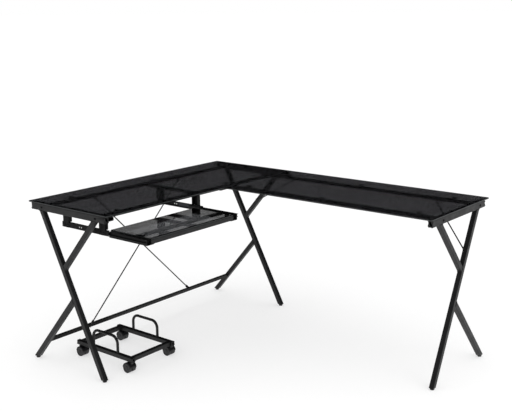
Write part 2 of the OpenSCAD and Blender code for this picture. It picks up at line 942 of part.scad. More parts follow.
module ball_cage() {
    front = slide_front_x - cage_inset;
    ball_z = runner_h / 2 + ball_r;
    step = cage_len / balls_a_row;
    translate([0, sheet_t, slide_z]) {
        along_x(front - cage_len, cage_len)
            c_section(cage_y0, cage_y1, 2 * ball_z + cage_wall, cage_wall, true);
        for (i = [0:balls_a_row - 1]) {
            for (side = [-1, 1]) {
                translate([front - cage_len + (i + 0.5) * step, ball_y, side * ball_z])
                    sphere(r = ball_r - ball_fit, $fn = ball_fn);
            }
        }
    }
}

module slide_channel_left() {
    color(rail_colour) left_side_at() slide_channel();
}
module slide_channel_right() {
    color(rail_colour) right_side_at() slide_channel();
}
module ball_cage_left() {
    color(zinc_colour) left_side_at() ball_cage();
}
module ball_cage_right() {
    color(zinc_colour) right_side_at() ball_cage();
}
module slide_runner_left() {
    color(rail_colour) left_side_at() slide_runner();
}
module slide_runner_right() {
    color(rail_colour) right_side_at() slide_runner();
}

// ---- keyboard tray ----

arm_len = 230;
arm_h = slide_z + runner_h / 2 - sheet_t - tray_frame_bottom;
arm_under = 16;
// Distance of the arm's end screws from its ends, and of the tube's from the tray's front
arm_screw_end = 25;
tube_screw_x = [60, 180];
tray_y0 = -tray_mid_y - tray_w / 2;
tray_y1 = -tray_mid_y + tray_w / 2;
tray_glass_edge = 1;

arm_x = tray_front_x - arm_len;
arm_y = sheet_t + slide_depth;
arm_screws = [for (x = [arm_screw_end, arm_len / 2, arm_len - arm_screw_end])
    [[arm_x + x, arm_y + sheet_t, slide_z], [90, 0, 0], sheet_t + channel_wall]];
// The tube screws sit in the middle of what the arm covers of the tube
tube_screw_y = arm_y + slide_gap + (cap_t + arm_under) / 2;

function tube_screws(y) = [for (x = tube_screw_x)
    [[tray_front_x - x, y, tray_frame_bottom - sheet_t], [0, 0, 0], sheet_t + tube_wall]];

// An angle from the runner to the underside of the tray's side tube
module tray_arm() {
    drilled(concat(arm_screws, tube_screws(tube_screw_y)))
        translate([arm_x, arm_y, tray_frame_bottom - sheet_t]) {
            cube([arm_len, slide_gap + arm_under, sheet_t]);
            cube([arm_len, sheet_t, arm_h + sheet_t]);
        }
}

module tray_screws() {
    color(zinc_colour) {
        left_side_at() screws_at(concat(arm_screws, tube_screws(tube_screw_y)));
        right_side_at() screws_at(concat(arm_screws, tube_screws(tube_screw_y)));
    }
}

module tray_arms() {
    color(rail_colour) {
        left_side_at() tray_arm();
        right_side_at() tray_arm();
    }
}

module tray_cross_tubes() {
    color(steel_colour) in_place()
        for (x = [tray_rear_x, tray_front_x - tray_tube]) {
            tube_y(tray_y0 + cap_t, tray_y1 - cap_t, x, tray_frame_bottom,
                tray_tube, tray_tube, tube_wall);
        }
}

module tray_side_tubes() {
    color(steel_colour) in_place()
        drilled(concat(places_at_y(tube_screws(tube_screw_y), left_plane_y),
            places_at_y(tube_screws(-tube_screw_y), right_plane_y)))
        for (y = [tray_y0 + cap_t, tray_y1 - cap_t - tray_tube]) {
            tube_x(tray_rear_x + tray_tube, tray_front_x - tray_tube, y, tray_frame_bottom,
                tray_tube, tray_tube, tube_wall);
        }
}

module tray_tube_caps() {
    z = tray_frame_bottom + tray_tube / 2;
    color(rubber_colour) in_place()
        for (x = [tray_rear_x + tray_tube / 2, tray_front_x - tray_tube / 2]) {
            translate([x, tray_y1 - cap_t, z])
                rotate([-90, 0, 0]) end_cap(tray_tube, tray_tube, tube_wall);
            translate([x, tray_y0 + cap_t, z])
                rotate([90, 0, 0]) end_cap(tray_tube, tray_tube, tube_wall);
        }
}

module tray_glass() {
    color(tray_glass_colour, 0.7) in_place()
        translate([tray_rear_x + tray_glass_edge, tray_y0 + tray_glass_edge, tray_frame_top])
            cube([tray_d - 2 * tray_glass_edge, tray_w - 2 * tray_glass_edge, tray_glass_t]);
}

// ---- tower trolley ----

trolley_front_x = trolley_back_x + trolley_len;
trolley_z = trolley_top_z - trolley_tube;
near_tube_y = -trolley_mid_y - trolley_w / 2;
far_tube_y = -trolley_mid_y + trolley_w / 2 - trolley_tube;
// Distance of the cross tubes from the ends of the side tubes
cross_inset = 8;
cross_rear_x = trolley_back_x + cross_inset;
cross_front_x = trolley_front_x - cross_inset - trolley_tube;
guard_x0 = trolley_back_x + guard_back;

module trolley_side_tube(y) {
    difference() {
        tube_x(trolley_back_x + cap_t, trolley_front_x - cap_t, y, trolley_z,
            trolley_tube, trolley_tube, tube_wall);
        for (x = [caster_rear_x, caster_front_x]) {
            translate([x, y + trolley_tube / 2, trolley_z - over])
                cylinder(h = tube_wall + 2 * over, r = stem_r + stem_fit, $fn = round_fn);
        }
        for (x = [guard_x0, guard_x0 + guard_len - guard_d]) {
            translate([x + guard_d / 2, y + trolley_tube / 2, trolley_top_z - tube_wall - over])
                cylinder(h = tube_wall + 2 * over, d = guard_d + 2 * plug_fit, $fn = round_fn);
        }
    }
}

module trolley_near_tube() {
    color(steel_colour) in_place() trolley_side_tube(near_tube_y);
}

module trolley_far_tube() {
    color(steel_colour) in_place() trolley_side_tube(far_tube_y);
}

module trolley_cross_tubes() {
    color(steel_colour) in_place()
        for (x = [cross_rear_x, cross_front_x]) {
            tube_y(near_tube_y + trolley_tube, far_tube_y, x, trolley_z,
                trolley_tube, trolley_tube, tube_wall);
        }
}

module trolley_tube_caps() {
    z = trolley_z + trolley_tube / 2;
    color(rubber_colour) in_place()
        for (y = [near_tube_y + trolley_tube / 2, far_tube_y + trolley_tube / 2]) {
            translate([trolley_front_x - cap_t, y, z])
                rotate([0, 90, 0]) trolley_cap();
            translate([trolley_back_x + cap_t, y, z])
                rotate([0, -90, 0]) trolley_cap();
        }
}

// The plug is short, so that it clears the caster's stem
short_plug = 4;
module trolley_cap() {
    side = trolley_tube - 2 * tube_wall - 2 * plug_fit;
    translate([-trolley_tube / 2, -trolley_tube / 2, 0])
        cube([trolley_tube, trolley_tube, cap_t]);
    translate([-side / 2, -side / 2, -short_plug]) cube([side, side, short_plug]);
}

// How far a guard loop's foot reaches under the tube's top wall
guard_bite = 6;

// A bent rod: two uprights, two quarter bends and a straight top
module guard_loop(y) {
    x0 = guard_x0 + guard_d / 2;
    x1 = x0 + guard_len - guard_d;
    foot_z = trolley_top_z - tube_wall - guard_bite;
    top_z = trolley_top_z + guard_h - guard_d / 2;
    for (x = [x0, x1]) {
        translate([x, y, foot_z])
            cylinder(h = top_z - guard_bend - foot_z, d = guard_d, $fn = round_fn);
    }
    translate([x0 + guard_bend, y, top_z])
        rotate([0, 90, 0])
            cylinder(h = x1 - x0 - 2 * guard_bend, d = guard_d, $fn = round_fn);
    translate([x0 + guard_bend, y, top_z - guard_bend])
        rotate([90, 0, 0]) rotate([0, 0, 90]) guard_corner();
    translate([x1 - guard_bend, y, top_z - guard_bend])
        rotate([90, 0, 0]) guard_corner();
}

module guard_corner() {
    rotate_extrude(angle = 90, $fn = 64)
        translate([guard_bend, 0]) circle(d = guard_d, $fn = round_fn);
}

module guard_loop_near() {
    color(steel_colour) in_place() guard_loop(near_tube_y + trolley_tube / 2);
}

module guard_loop_far() {
    color(steel_colour) in_place() guard_loop(far_tube_y + trolley_tube / 2);
}

// ---- casters ----

wheel_r = wheel_d / 2;
stem_r = 4;
stem_fit = 0.1;
stem_up = 12;
caster_edge = 15;
hood_web = 5;
hood_gap = 1;
hood_wall = 2;
axle_r = 3;
axle_fit = 0.05;
wheel_gap = 0.6;
hood_r = wheel_r + hood_gap + hood_wall;
boss_r = 8;
// Gap between a caster's boss and the tube above it
boss_gap = 1;
// Height of the hood's edge above the axle, and depth of its web below the axle
hood_skirt = 2;
web_drop = 8;
caster_rear_x = trolley_back_x + caster_edge;
caster_front_x = trolley_front_x - caster_edge;
// Turn of each caster about its stem: where the wheels trail
trail_rear = 0;
trail_front = 180;

module caster_at(x, y, turn) {
    in_place() translate([x, y + trolley_tube / 2, 0]) rotate([0, 0, turn]) children();
}

// The wheels trail along +X; the stem is at the origin
module caster_hood() {
    half = hood_web / 2 + wheel_gap + wheel_w;
    translate([0, 0, trolley_z - boss_gap]) cylinder(h = stem_up, r = stem_r, $fn = round_fn);
    difference() {
        union() {
            on_axle(-half, half, hood_r);
            translate([0, 0, wheel_r]) cylinder(h = trolley_z - boss_gap - wheel_r, r = boss_r);
        }
        on_axle(hood_web / 2, half + over, wheel_r + hood_gap);
        on_axle(-half - over, -hood_web / 2, wheel_r + hood_gap);
        on_axle(-hood_web, hood_web, axle_r + axle_fit);
        below(hood_web / 2, half + over, wheel_r + hood_skirt);
        below(-half - over, -hood_web / 2, wheel_r + hood_skirt);
        below(-hood_web, hood_web, wheel_r - web_drop);
    }
}

// A cylinder about the axle, from y0 to y1
module on_axle(y0, y1, r) {
    translate([caster_trail, y1, wheel_r]) rotate([90, 0, 0]) cylinder(h = y1 - y0, r = r);
}

// Everything under the height z between y0 and y1
module below(y0, y1, z) {
    translate([-2 * hood_r, y0, -hood_r]) cube([4 * hood_r, y1 - y0, z + hood_r]);
}

module caster_wheels() {
    translate([caster_trail, 0, wheel_r]) rotate([90, 0, 0]) {
        for (side = [-1, 1]) {
            mid = side * (hood_web / 2 + wheel_gap + wheel_w / 2);
            translate([0, 0, mid]) wheel();
        }
        translate([0, 0, -hood_web / 2 - wheel_gap - wheel_w])
            cylinder(h = hood_web + 2 * wheel_gap + 2 * wheel_w, r = axle_r, $fn = round_fn);
    }
}

// A wheel with a dished outer face
module wheel() {
    edge = 1.2;
    rotate_extrude($fn = 64)
        polygon([[0, -wheel_w / 2], [wheel_r - edge, -wheel_w / 2], [wheel_r, -wheel_w / 2 + edge],
            [wheel_r, wheel_w / 2 - edge], [wheel_r - edge, wheel_w / 2], [0, wheel_w / 2]]);
}

module caster_hood_near() {
    color(rubber_colour) caster_at(caster_front_x, near_tube_y, trail_front) caster_hood();
}
module caster_hood_right() {
    color(rubber_colour) caster_at(caster_front_x, far_tube_y, trail_front) caster_hood();
}
module caster_hood_left() {
    color(rubber_colour) caster_at(caster_rear_x, near_tube_y, trail_rear) caster_hood();
}
module caster_hood_far() {
    color(rubber_colour) caster_at(caster_rear_x, far_tube_y, trail_rear) caster_hood();
}
module caster_wheels_near() {
    color(rubber_colour) caster_at(caster_front_x, near_tube_y, trail_front) caster_wheels();
}
module caster_wheels_right() {
    color(rubber_colour) caster_at(caster_front_x, far_tube_y, trail_front) caster_wheels();
}
module caster_wheels_left() {
    color(rubber_colour) caster_at(caster_rear_x, near_tube_y, trail_rear) caster_wheels();
}
module caster_wheels_far() {
    color(rubber_colour) caster_at(caster_rear_x, far_tube_y, trail_rear) caster_wheels();
}

glass_left();
glass_right();
glass_pads();
left_top_bar();
left_long_leg();
left_upper_leg();
left_lower_leg();
corner_top_bar();
corner_long_leg();
corner_upper_leg();
corner_lower_leg();
right_top_bar();
right_long_leg();
right_upper_leg();
right_lower_leg();
bar_end_caps();
foot_glides();
frame_bolts();
rail_inserts();
left_crossbar();
left_rear_rail();
left_front_rail();
mid_crossbar();
right_rear_rail();
right_front_rail();
rail_brackets();
stretcher();
desk_screws();
brace_rod_outer();
brace_rod_inner();
knee_rod_corner();
knee_rod_right();
hangers_left();
hangers_right();
slide_channel_left();
slide_channel_right();
ball_cage_left();
ball_cage_right();
slide_runner_left();
slide_runner_right();
tray_arms();
tray_cross_tubes();
tray_side_tubes();
tray_tube_caps();
tray_glass();
tray_screws();
trolley_near_tube();
trolley_far_tube();
trolley_cross_tubes();
trolley_tube_caps();
guard_loop_near();
guard_loop_far();
caster_hood_near();
caster_hood_right();
caster_hood_left();
caster_hood_far();
caster_wheels_near();
caster_wheels_right();
caster_wheels_left();
caster_wheels_far();
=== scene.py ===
"""The looks of an L-shaped computer desk: smoked glass tops on three X-frames of black steel tube,
a keyboard tray that pulls out on ball slides, and a loose tower trolley on twin-wheel casters.

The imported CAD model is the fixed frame. Every piece here goes where that frame says, in metres.
"""

import json
import logging
import math
from dataclasses import dataclass
from enum import Enum
from typing import Any, Callable, Iterable, Optional, Sequence

import bmesh
import bpy
from bpy.types import Material, NodeTree, Object
from mathutils import Matrix, Vector


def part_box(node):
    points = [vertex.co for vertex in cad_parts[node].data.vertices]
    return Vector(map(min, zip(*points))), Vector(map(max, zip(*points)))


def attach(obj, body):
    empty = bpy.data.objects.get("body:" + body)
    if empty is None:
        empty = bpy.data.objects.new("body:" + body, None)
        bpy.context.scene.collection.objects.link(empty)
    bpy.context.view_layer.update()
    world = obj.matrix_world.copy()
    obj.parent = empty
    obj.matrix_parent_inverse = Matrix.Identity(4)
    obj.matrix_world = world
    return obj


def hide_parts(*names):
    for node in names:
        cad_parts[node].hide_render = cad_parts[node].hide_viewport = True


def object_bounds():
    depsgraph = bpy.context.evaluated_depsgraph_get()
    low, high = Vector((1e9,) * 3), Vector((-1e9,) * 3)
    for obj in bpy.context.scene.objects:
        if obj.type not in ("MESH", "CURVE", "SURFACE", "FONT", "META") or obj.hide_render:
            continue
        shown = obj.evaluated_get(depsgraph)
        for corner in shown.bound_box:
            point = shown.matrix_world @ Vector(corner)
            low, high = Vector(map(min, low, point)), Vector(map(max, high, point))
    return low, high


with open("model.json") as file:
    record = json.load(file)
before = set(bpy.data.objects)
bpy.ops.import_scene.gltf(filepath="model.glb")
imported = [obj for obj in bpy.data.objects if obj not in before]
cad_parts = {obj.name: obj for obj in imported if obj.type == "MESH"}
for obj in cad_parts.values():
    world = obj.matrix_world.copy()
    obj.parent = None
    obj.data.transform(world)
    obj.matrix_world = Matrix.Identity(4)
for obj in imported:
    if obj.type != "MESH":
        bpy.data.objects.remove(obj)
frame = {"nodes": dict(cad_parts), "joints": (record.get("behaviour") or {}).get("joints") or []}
CAD_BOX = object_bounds()

log = logging.getLogger("desk")

MM = 0.001
MERGE_DISTANCE = 0.002 * MM
FLAT_ANGLE = math.radians(1.0)
SHARP_ANGLE = math.radians(32.0)
CORNER_ANGLE = math.radians(60.0)
FLAT_SHARE = 4.0
FULL_TURN = 2.0 * math.pi

Box = tuple[Vector, Vector]


class Body(Enum):
    """The bodies that pieces ride on, other than the casters' own."""

    DESK = "desk"
    TRAY = "tray"
    TROLLEY = "trolley"


class Side(Enum):
    """The two slides and hangers of the tray."""

    LEFT = "left"
    RIGHT = "right"


class Corner(Enum):
    """The trolley's four casters."""

    NEAR = "near"
    RIGHT = "right"
    LEFT = "left"
    FAR = "far"


# ---- materials ----


def linear_rgba(hex_colour: str, alpha: float = 1.0) -> tuple[float, float, float, float]:
    """Turns an sRGB hex colour into linear light.

    Args:
        hex_colour: six hex digits, such as "2A2A2B".
        alpha: opacity from 0 to 1.

    Returns:
        Red, green, blue and alpha.
    """

    def channel(value: int) -> float:
        """One channel's linear value."""
        share = value / 255.0
        return share / 12.92 if share <= 0.04045 else ((share + 0.055) / 1.055) ** 2.4

    red, green, blue = (int(hex_colour[i : i + 2], 16) for i in (0, 2, 4))
    return channel(red), channel(green), channel(blue), alpha


def add_node(
    tree: NodeTree,
    kind: str,
    settings: Optional[dict[Any, Any]] = None,
    links: Optional[dict[Any, Any]] = None,
) -> bpy.types.Node:
    """Adds a node with its settings and links.

    Args:
        tree: the node tree.
        kind: the node's type, such as "ShaderNodeTexNoise".
        settings: values by input name or number, or by the node's own property name.
        links: output sockets by the input name or number that they feed.

    Returns:
        The new node.
    """
    node = tree.nodes.new(kind)
    for name, value in (settings or {}).items():
        if isinstance(name, int) or name in node.inputs:
            node.inputs[name].default_value = value
        else:
            setattr(node, name, value)
    for name, socket in (links or {}).items():
        tree.links.new(socket, node.inputs[name])
    return node


def per_metre(size_mm: float) -> float:
    """A texture scale whose features are this many millimetres wide."""
    return 1.0 / (size_mm * MM)


@dataclass(frozen=True)
class Finish:
    """What all finishes share: a surface with a fine relief and an uneven colour and gloss."""

    name: str
    slot: str
    dark_hex: str
    light_hex: str
    roughness: tuple[float, float]
    relief_mm: float
    relief_width_mm: float
    mottle_mm: float
    metallic: float = 0.0
    ior: float = 1.5
    transmission: float = 0.0
    specular: float = 0.5
    relief_octaves: float = 3.0

    def material(self) -> Material:
        """The finish as a material, made once and then shared.

        Returns:
            The material.
        """
        known = bpy.data.materials.get(self.name)
        if known is not None:
            return known
        made = bpy.data.materials.new(self.name)
        made.use_nodes = True
        made.diffuse_color = linear_rgba(self.light_hex)
        tree = made.node_tree
        tree.nodes.clear()
        place = add_node(tree, "ShaderNodeTexCoord").outputs["Object"]
        shader = add_node(
            tree,
            "ShaderNodeBsdfPrincipled",
            {
                "Metallic": self.metallic,
                "IOR": self.ior,
                "Transmission Weight": self.transmission,
                "Specular IOR Level": self.specular,
            },
            {
                "Base Color": self.colour(tree, place),
                "Roughness": self.gloss(tree, place),
                "Normal": self.relief(tree, place),
            },
        )
        add_node(tree, "ShaderNodeOutputMaterial", {}, {"Surface": shader.outputs["BSDF"]})
        return made

    def colour(self, tree: NodeTree, place: Any) -> Any:
        """The uneven colour.

        Args:
            tree: the material's node tree.
            place: the coordinate socket.

        Returns:
            A colour socket.
        """
        cloud = add_node(
            tree,
            "ShaderNodeTexNoise",
            {"Scale": per_metre(self.mottle_mm), "Detail": 4.0, "Roughness": 0.55},
            {"Vector": place},
        )
        ramp = add_node(tree, "ShaderNodeValToRGB", {}, {"Fac": cloud.outputs["Fac"]})
        low, high = ramp.color_ramp.elements
        low.position, low.color = 0.35, linear_rgba(self.dark_hex)
        high.position, high.color = 0.65, linear_rgba(self.light_hex)
        return ramp.outputs["Color"]

    def gloss(self, tree: NodeTree, place: Any) -> Any:
        """The uneven roughness, from handling and from how the surface was made.

        Args:
            tree: the material's node tree.
            place: the coordinate socket.

        Returns:
            A value socket.
        """
        haze = add_node(
            tree,
            "ShaderNodeTexNoise",
            {"Scale": per_metre(self.mottle_mm * 0.4), "Detail": 5.0},
            {"Vector": place},
        )
        span = add_node(
            tree,
            "ShaderNodeMapRange",
            {"From Min": 0.3, "From Max": 0.7, "To Min": self.roughness[0], "To Max": self.roughness[1]},
            {"Value": haze.outputs["Fac"]},
        )
        return span.outputs["Result"]

    def relief(self, tree: NodeTree, place: Any) -> Any:
        """The fine relief.

        Args:
            tree: the material's node tree.
            place: the coordinate socket.

        Returns:
            A normal socket.
        """
        grain = add_node(
            tree,
            "ShaderNodeTexNoise",
            {"Scale": per_metre(self.relief_width_mm), "Detail": self.relief_octaves},
            {"Vector": place},
        )
        bump = add_node(
            tree,
            "ShaderNodeBump",
            {"Strength": 0.6, "Distance": self.relief_mm * MM},
            {"Height": grain.outputs["Fac"]},
        )
        return bump.outputs["Normal"]


# Polyester powder coat on mild steel: sprayed dry and baked, so it has a fine orange peel, a
# satin sheen and softly rounded edges.
FRAME_COAT = Finish(
    "Satin_black_powder_coat",
    "frame_powder_coat",
    "121213",
    "19191A",
    (0.4, 0.52),
    0.06,
    1.6,
    60.0,
    specular=0.3,
)
# The same coat on the parts under the tops, its colour darkened as painted shade for the shade under the
# tops; it is also rougher, so duller.
SHADED_RAIL_COAT = Finish(
    "Shaded_matt_black_powder_coat",
    "rail_powder_coat",
    "080809",
    "0E0E0F",
    (0.5, 0.62),
    0.06,
    1.4,
    45.0,
    specular=0.2,
)
# Toughened float glass, body-tinted dark grey: flat, with the faint roller wave of toughening.
TOP_GLASS = Finish(
    "Smoked_float_glass",
    "smoked_glass",
    "3A3A3C",
    "3D3D3F",
    (0.0, 0.003),
    0.03,
    160.0,
    240.0,
    ior=1.52,
    transmission=1.0,
    relief_octaves=0.0,
)
# The tray's thinner pane of the same glass, so it looks a little lighter.
TRAY_GLASS = Finish(
    "Smoked_float_glass_4_mm",
    "tray_glass",
    "4A4B4D",
    "4D4E50",
    (0.0, 0.003),
    0.02,
    120.0,
    180.0,
    ior=1.52,
    transmission=1.0,
    relief_octaves=0.0,
)
# The sheets' edges, ground with a diamond wheel: the grit leaves a fine frost that catches light.
GROUND_EDGE = Finish(
    "Ground_glass_edge", "smoked_glass", "16191A", "262A2A", (0.38, 0.5), 0.05, 0.7, 12.0, ior=1.52
)
# Low-density polythene end caps and glides: moulded against a spark-eroded tool, so dull.
POLYTHENE = Finish(
    "Moulded_black_polythene", "black_polythene", "0B0B0C", "131314", (0.5, 0.64), 0.05, 0.6, 20.0
)
# The tray's caps, of the same polythene with more grey in it, to match the powder coat.
GREY_POLYTHENE = Finish(
    "Moulded_charcoal_polythene", "black_polythene", "161617", "1F1F20", (0.45, 0.6), 0.05, 0.6, 20.0
)
# Moulded rubber with a talc bloom, which greys it in patches.
RUBBER = Finish("Moulded_black_rubber", "pad_rubber", "090909", "141414", (0.68, 0.85), 0.06, 0.8, 8.0)
# Machine screws with a black oxide finish: dark metal with a thin oily gloss.
BLACK_OXIDE = Finish(
    "Black_oxide_steel", "black_oxide_bolts", "1B1B1D", "2B2B2E", (0.3, 0.45), 0.03, 0.5, 5.0, metallic=1.0
)
# Electroplated black zinc on pressed steel: dark, faintly clouded.
ZINC = Finish(
    "Black_zinc_plated_steel", "zinc_steel", "2B2C2E", "3A3B3E", (0.25, 0.4), 0.02, 0.9, 6.0, metallic=1.0
)
# Glass-filled nylon caster hoods: moulded, with an even semi-gloss.
HOOD_NYLON = Finish(
    "Moulded_black_nylon", "caster_nylon", "0C0C0D", "161618", (0.26, 0.38), 0.03, 0.9, 14.0
)
# The wheels' nylon, scuffed grey by the floor.
WHEEL_NYLON = Finish(
    "Scuffed_black_nylon", "caster_wheel_nylon", "101011", "242426", (0.42, 0.62), 0.06, 1.0, 7.0
)


# ---- mesh helpers ----


def merged_copy(node: str) -> bmesh.types.BMesh:
    """A CAD node's mesh with its loose triangles joined and its flat faces made whole.

    Args:
        node: the CAD node's name.

    Returns:
        A new bmesh.
    """
    bm = bmesh.new()
    bm.from_mesh(frame["nodes"][node].data)
    bmesh.ops.remove_doubles(bm, verts=bm.verts, dist=MERGE_DISTANCE)
    bmesh.ops.dissolve_limit(bm, angle_limit=FLAT_ANGLE, verts=bm.verts, edges=bm.edges)
    return bm


def absorb(target: bmesh.types.BMesh, part: bmesh.types.BMesh, finish_index: int = 0) -> None:
    """Moves a finished part into a larger mesh.

    Args:
        target: the mesh that receives it.
        part: the part, which is freed.
        finish_index: the material index of the part's faces.
    """
    for face in part.faces:
        face.material_index = finish_index
    carrier = bpy.data.meshes.new("carrier")
    part.to_mesh(carrier)
    part.free()
    target.from_mesh(carrier)
    bpy.data.meshes.remove(carrier)


def islands(bm: bmesh.types.BMesh) -> list[Box]:
    """The boxes of a mesh's separate solids.

    Args:
        bm: the mesh.

    Returns:
        The lowest and highest corner of each solid.
    """
    left = set(bm.verts)
    boxes: list[Box] = []
    while left:
        stack = [left.pop()]
        found = list(stack)
        while stack:
            for edge in stack.pop().link_edges:
                for vert in edge.verts:
                    if vert in left:
                        left.remove(vert)
                        stack.append(vert)
                        found.append(vert)
        low = Vector(min(v.co[i] for v in found) for i in range(3))
        high = Vector(max(v.co[i] for v in found) for i in range(3))
        boxes.append((low, high))
    return boxes


def node_islands(node: str) -> list[Box]:
    """The boxes of the separate solids in a CAD node, in a steady order."""
    bm = merged_copy(node)
    boxes = islands(bm)
    bm.free()
    return sorted(boxes, key=lambda b: tuple(round(c, 4) for c in b[0]))


def middle(box: Box) -> Vector:
    """The middle of a box."""
    return (box[0] + box[1]) / 2.0


def soften(bm: bmesh.types.BMesh, width: float, shortest: float, segments: int = 3) -> None:
    """Rounds a mesh's long outer corners, as on rolled tube and folded sheet.

    Args:
        bm: the mesh.
        width: how far the rounding reaches from each corner.
        shortest: edges shorter than this keep their corner.
        segments: how many strips the rounding has.
    """
    corners = [
        e
        for e in bm.edges
        if e.is_manifold and e.is_convex and e.calc_length() > shortest and e.calc_face_angle() > CORNER_ANGLE
    ]
    bevel(bm, corners, width, segments)


def bevel(bm: bmesh.types.BMesh, edges: Sequence[Any], width: float, segments: int = 3) -> None:
    """Rounds the given edges of a mesh.

    Args:
        bm: the mesh.
        edges: its edges to round.
        width: how far the rounding reaches.
        segments: how many strips it has.
    """
    bmesh.ops.bevel(
        bm,
        geom=list(edges),
        offset=width,
        offset_type="OFFSET",
        affect="EDGES",
        segments=segments,
        profile=0.5,
        material=-1,
        clamp_overlap=True,
    )


def block(size: Vector, rounding: float, segments: int = 3) -> bmesh.types.BMesh:
    """A block about the origin with every edge rounded.

    Args:
        size: its three sides.
        rounding: how far the rounding reaches.
        segments: how many strips it has.

    Returns:
        A new bmesh.
    """
    bm = bmesh.new()
    bmesh.ops.create_cube(bm, size=1.0)
    bmesh.ops.scale(bm, vec=size, verts=bm.verts)
    bevel(bm, list(bm.edges), rounding, segments)
    return bm


def lathe(profile: Sequence[tuple[float, float]], steps: int = 48) -> bmesh.types.BMesh:
    """Turns a profile about the Z axis.

    Args:
        profile: (radius, height) points, in order.
        steps: how many faces go round.

    Returns:
        A new bmesh with its faces pointing outwards.
    """
    bm = bmesh.new()
    verts = [bm.verts.new((radius, 0.0, height)) for radius, height in profile]
    edges = [bm.edges.new(pair) for pair in zip(verts, verts[1:])]
    bmesh.ops.spin(
        bm,
        geom=verts + edges,
        cent=(0.0, 0.0, 0.0),
        axis=(0.0, 0.0, 1.0),
        dvec=(0.0, 0.0, 0.0),
        angle=FULL_TURN,
        steps=steps,
        use_merge=True,
        use_duplicate=False,
    )
    bmesh.ops.remove_doubles(bm, verts=bm.verts, dist=MERGE_DISTANCE)
    bmesh.ops.recalc_face_normals(bm, faces=bm.faces)
    return bm


def along(start: Vector, end: Vector) -> Matrix:
    """The transform that puts the origin at start and points +Z at end.

    Args:
        start: where the origin goes.
        end: the point that +Z faces.

    Returns:
        A 4 by 4 matrix.
    """
    turn = (end - start).to_track_quat("Z", "Y").to_matrix().to_4x4()
    return Matrix.Translation(start) @ turn


def moved(bm: bmesh.types.BMesh, matrix: Matrix) -> bmesh.types.BMesh:
    """Applies a transform to a whole mesh and returns it."""
    bmesh.ops.transform(bm, matrix=matrix, verts=bm.verts)
    return bm


def mark_sharp(bm: bmesh.types.BMesh) -> None:
    """Smooths a mesh's shading, but for its sharp edges and its large flat faces."""
    areas = {face: face.calc_area() for face in bm.faces}
    for face in bm.faces:
        soft = [e for e in face.edges if e.is_manifold and e.calc_face_angle(0.0) < SHARP_ANGLE]
        beside = [areas[other] for e in soft for other in e.link_faces if other is not face]
        face.smooth = bool(beside) and areas[face] < FLAT_SHARE * max(beside)
    for edge in bm.edges:
        edge.smooth = edge.is_manifold and edge.calc_face_angle(0.0) < SHARP_ANGLE


def publish(
    name: str,
    bm: bmesh.types.BMesh,
    body: str,
    finishes: Sequence[Finish],
    replaced: Iterable[str] = (),
) -> Object:
    """Makes a mesh a finished piece that rides on its body.

    Args:
        name: the piece's name.
        bm: its mesh, which is freed.
        body: the CAD body that it moves with.
        finishes: its finishes, in the order of the material indices.
        replaced: the CAD nodes that it stands for.

    Returns:
        The piece's object.
    """
    mark_sharp(bm)
    mesh = bpy.data.meshes.new(name)
    bm.to_mesh(mesh)
    bm.free()
    for finish in finishes:
        mesh.materials.append(finish.material())
    piece = bpy.data.objects.new(name, mesh)
    bpy.context.scene.collection.objects.link(piece)
    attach(piece, body)
    nodes = list(replaced)
    if nodes:
        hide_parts(*nodes)
    log.info("%s: %d faces on %s", name, len(mesh.polygons), body)
    return piece


def dress(node: str, finish: Finish) -> None:
    """Gives a CAD node that stays in view its finish."""
    held = frame["nodes"][node]
    held.data.materials.clear()
    held.data.materials.append(finish.material())
    log.info("%s: dressed in %s", node, finish.name)


def soft_piece(node: str, body: str, finish: Finish, rounding: float, shortest: float) -> Object:
    """A CAD node's shape with its long corners rounded, as a piece that stands for the node.

    Args:
        node: the CAD node.
        body: the body that it moves with.
        finish: its finish.
        rounding: how far each corner's rounding reaches.
        shortest: edges shorter than this stay sharp.

    Returns:
        The piece's object.
    """
    bm = merged_copy(node)
    soften(bm, rounding, shortest)
    return publish(f"{node}_finished", bm, body, [finish], [node])


# ---- small parts that repeat ----


@dataclass(frozen=True)
class Fastener:
    """A button-head screw with a hexagon socket, drawn with its head above the z = 0 plane."""

    head_radius: float = 5.2 * MM
    head_height: float = 2.8 * MM
    socket: float = 1.9 * MM
    shank_radius: float = 3.0 * MM
    dome_steps: int = 6

    def mesh(self, shank: float) -> bmesh.types.BMesh:
        """The screw with a shank of this length below its head.

        Args:
            shank: the shank's length.

        Returns:
            A new bmesh.
        """
        rim = self.head_height * 0.25
        flat = self.head_radius * 0.5
        dome = [
            (
                flat + (self.head_radius - flat) * math.cos(step / self.dome_steps * math.pi / 2.0),
                rim + (self.head_height - rim) * math.sin(step / self.dome_steps * math.pi / 2.0),
            )
            for step in range(self.dome_steps + 1)
        ]
        socket_floor = self.head_height * 0.35
        profile = [(0.0, -shank), (self.shank_radius, -shank), (self.shank_radius, 0.0)]
        profile += [(self.head_radius, 0.0)] + dome
        profile += [(self.socket, self.head_height), (self.socket, socket_floor), (0.0, socket_floor)]
        bm = lathe(profile, 24)
        for vert in bm.verts:
            radius = math.hypot(vert.co.x, vert.co.y)
            if abs(radius - self.socket) < MERGE_DISTANCE * 10.0 and vert.co.z > rim:
                self.make_hexagonal(vert)
        return bm

    def make_hexagonal(self, vert: Any) -> None:
        """Moves a vertex of the round socket onto a hexagon."""
        sixth = math.pi / 3.0
        angle = math.atan2(vert.co.y, vert.co.x)
        off_flat = (angle % sixth) - sixth / 2.0
        reach = math.cos(sixth / 2.0) / math.cos(off_flat)
        vert.co.x *= reach
        vert.co.y *= reach


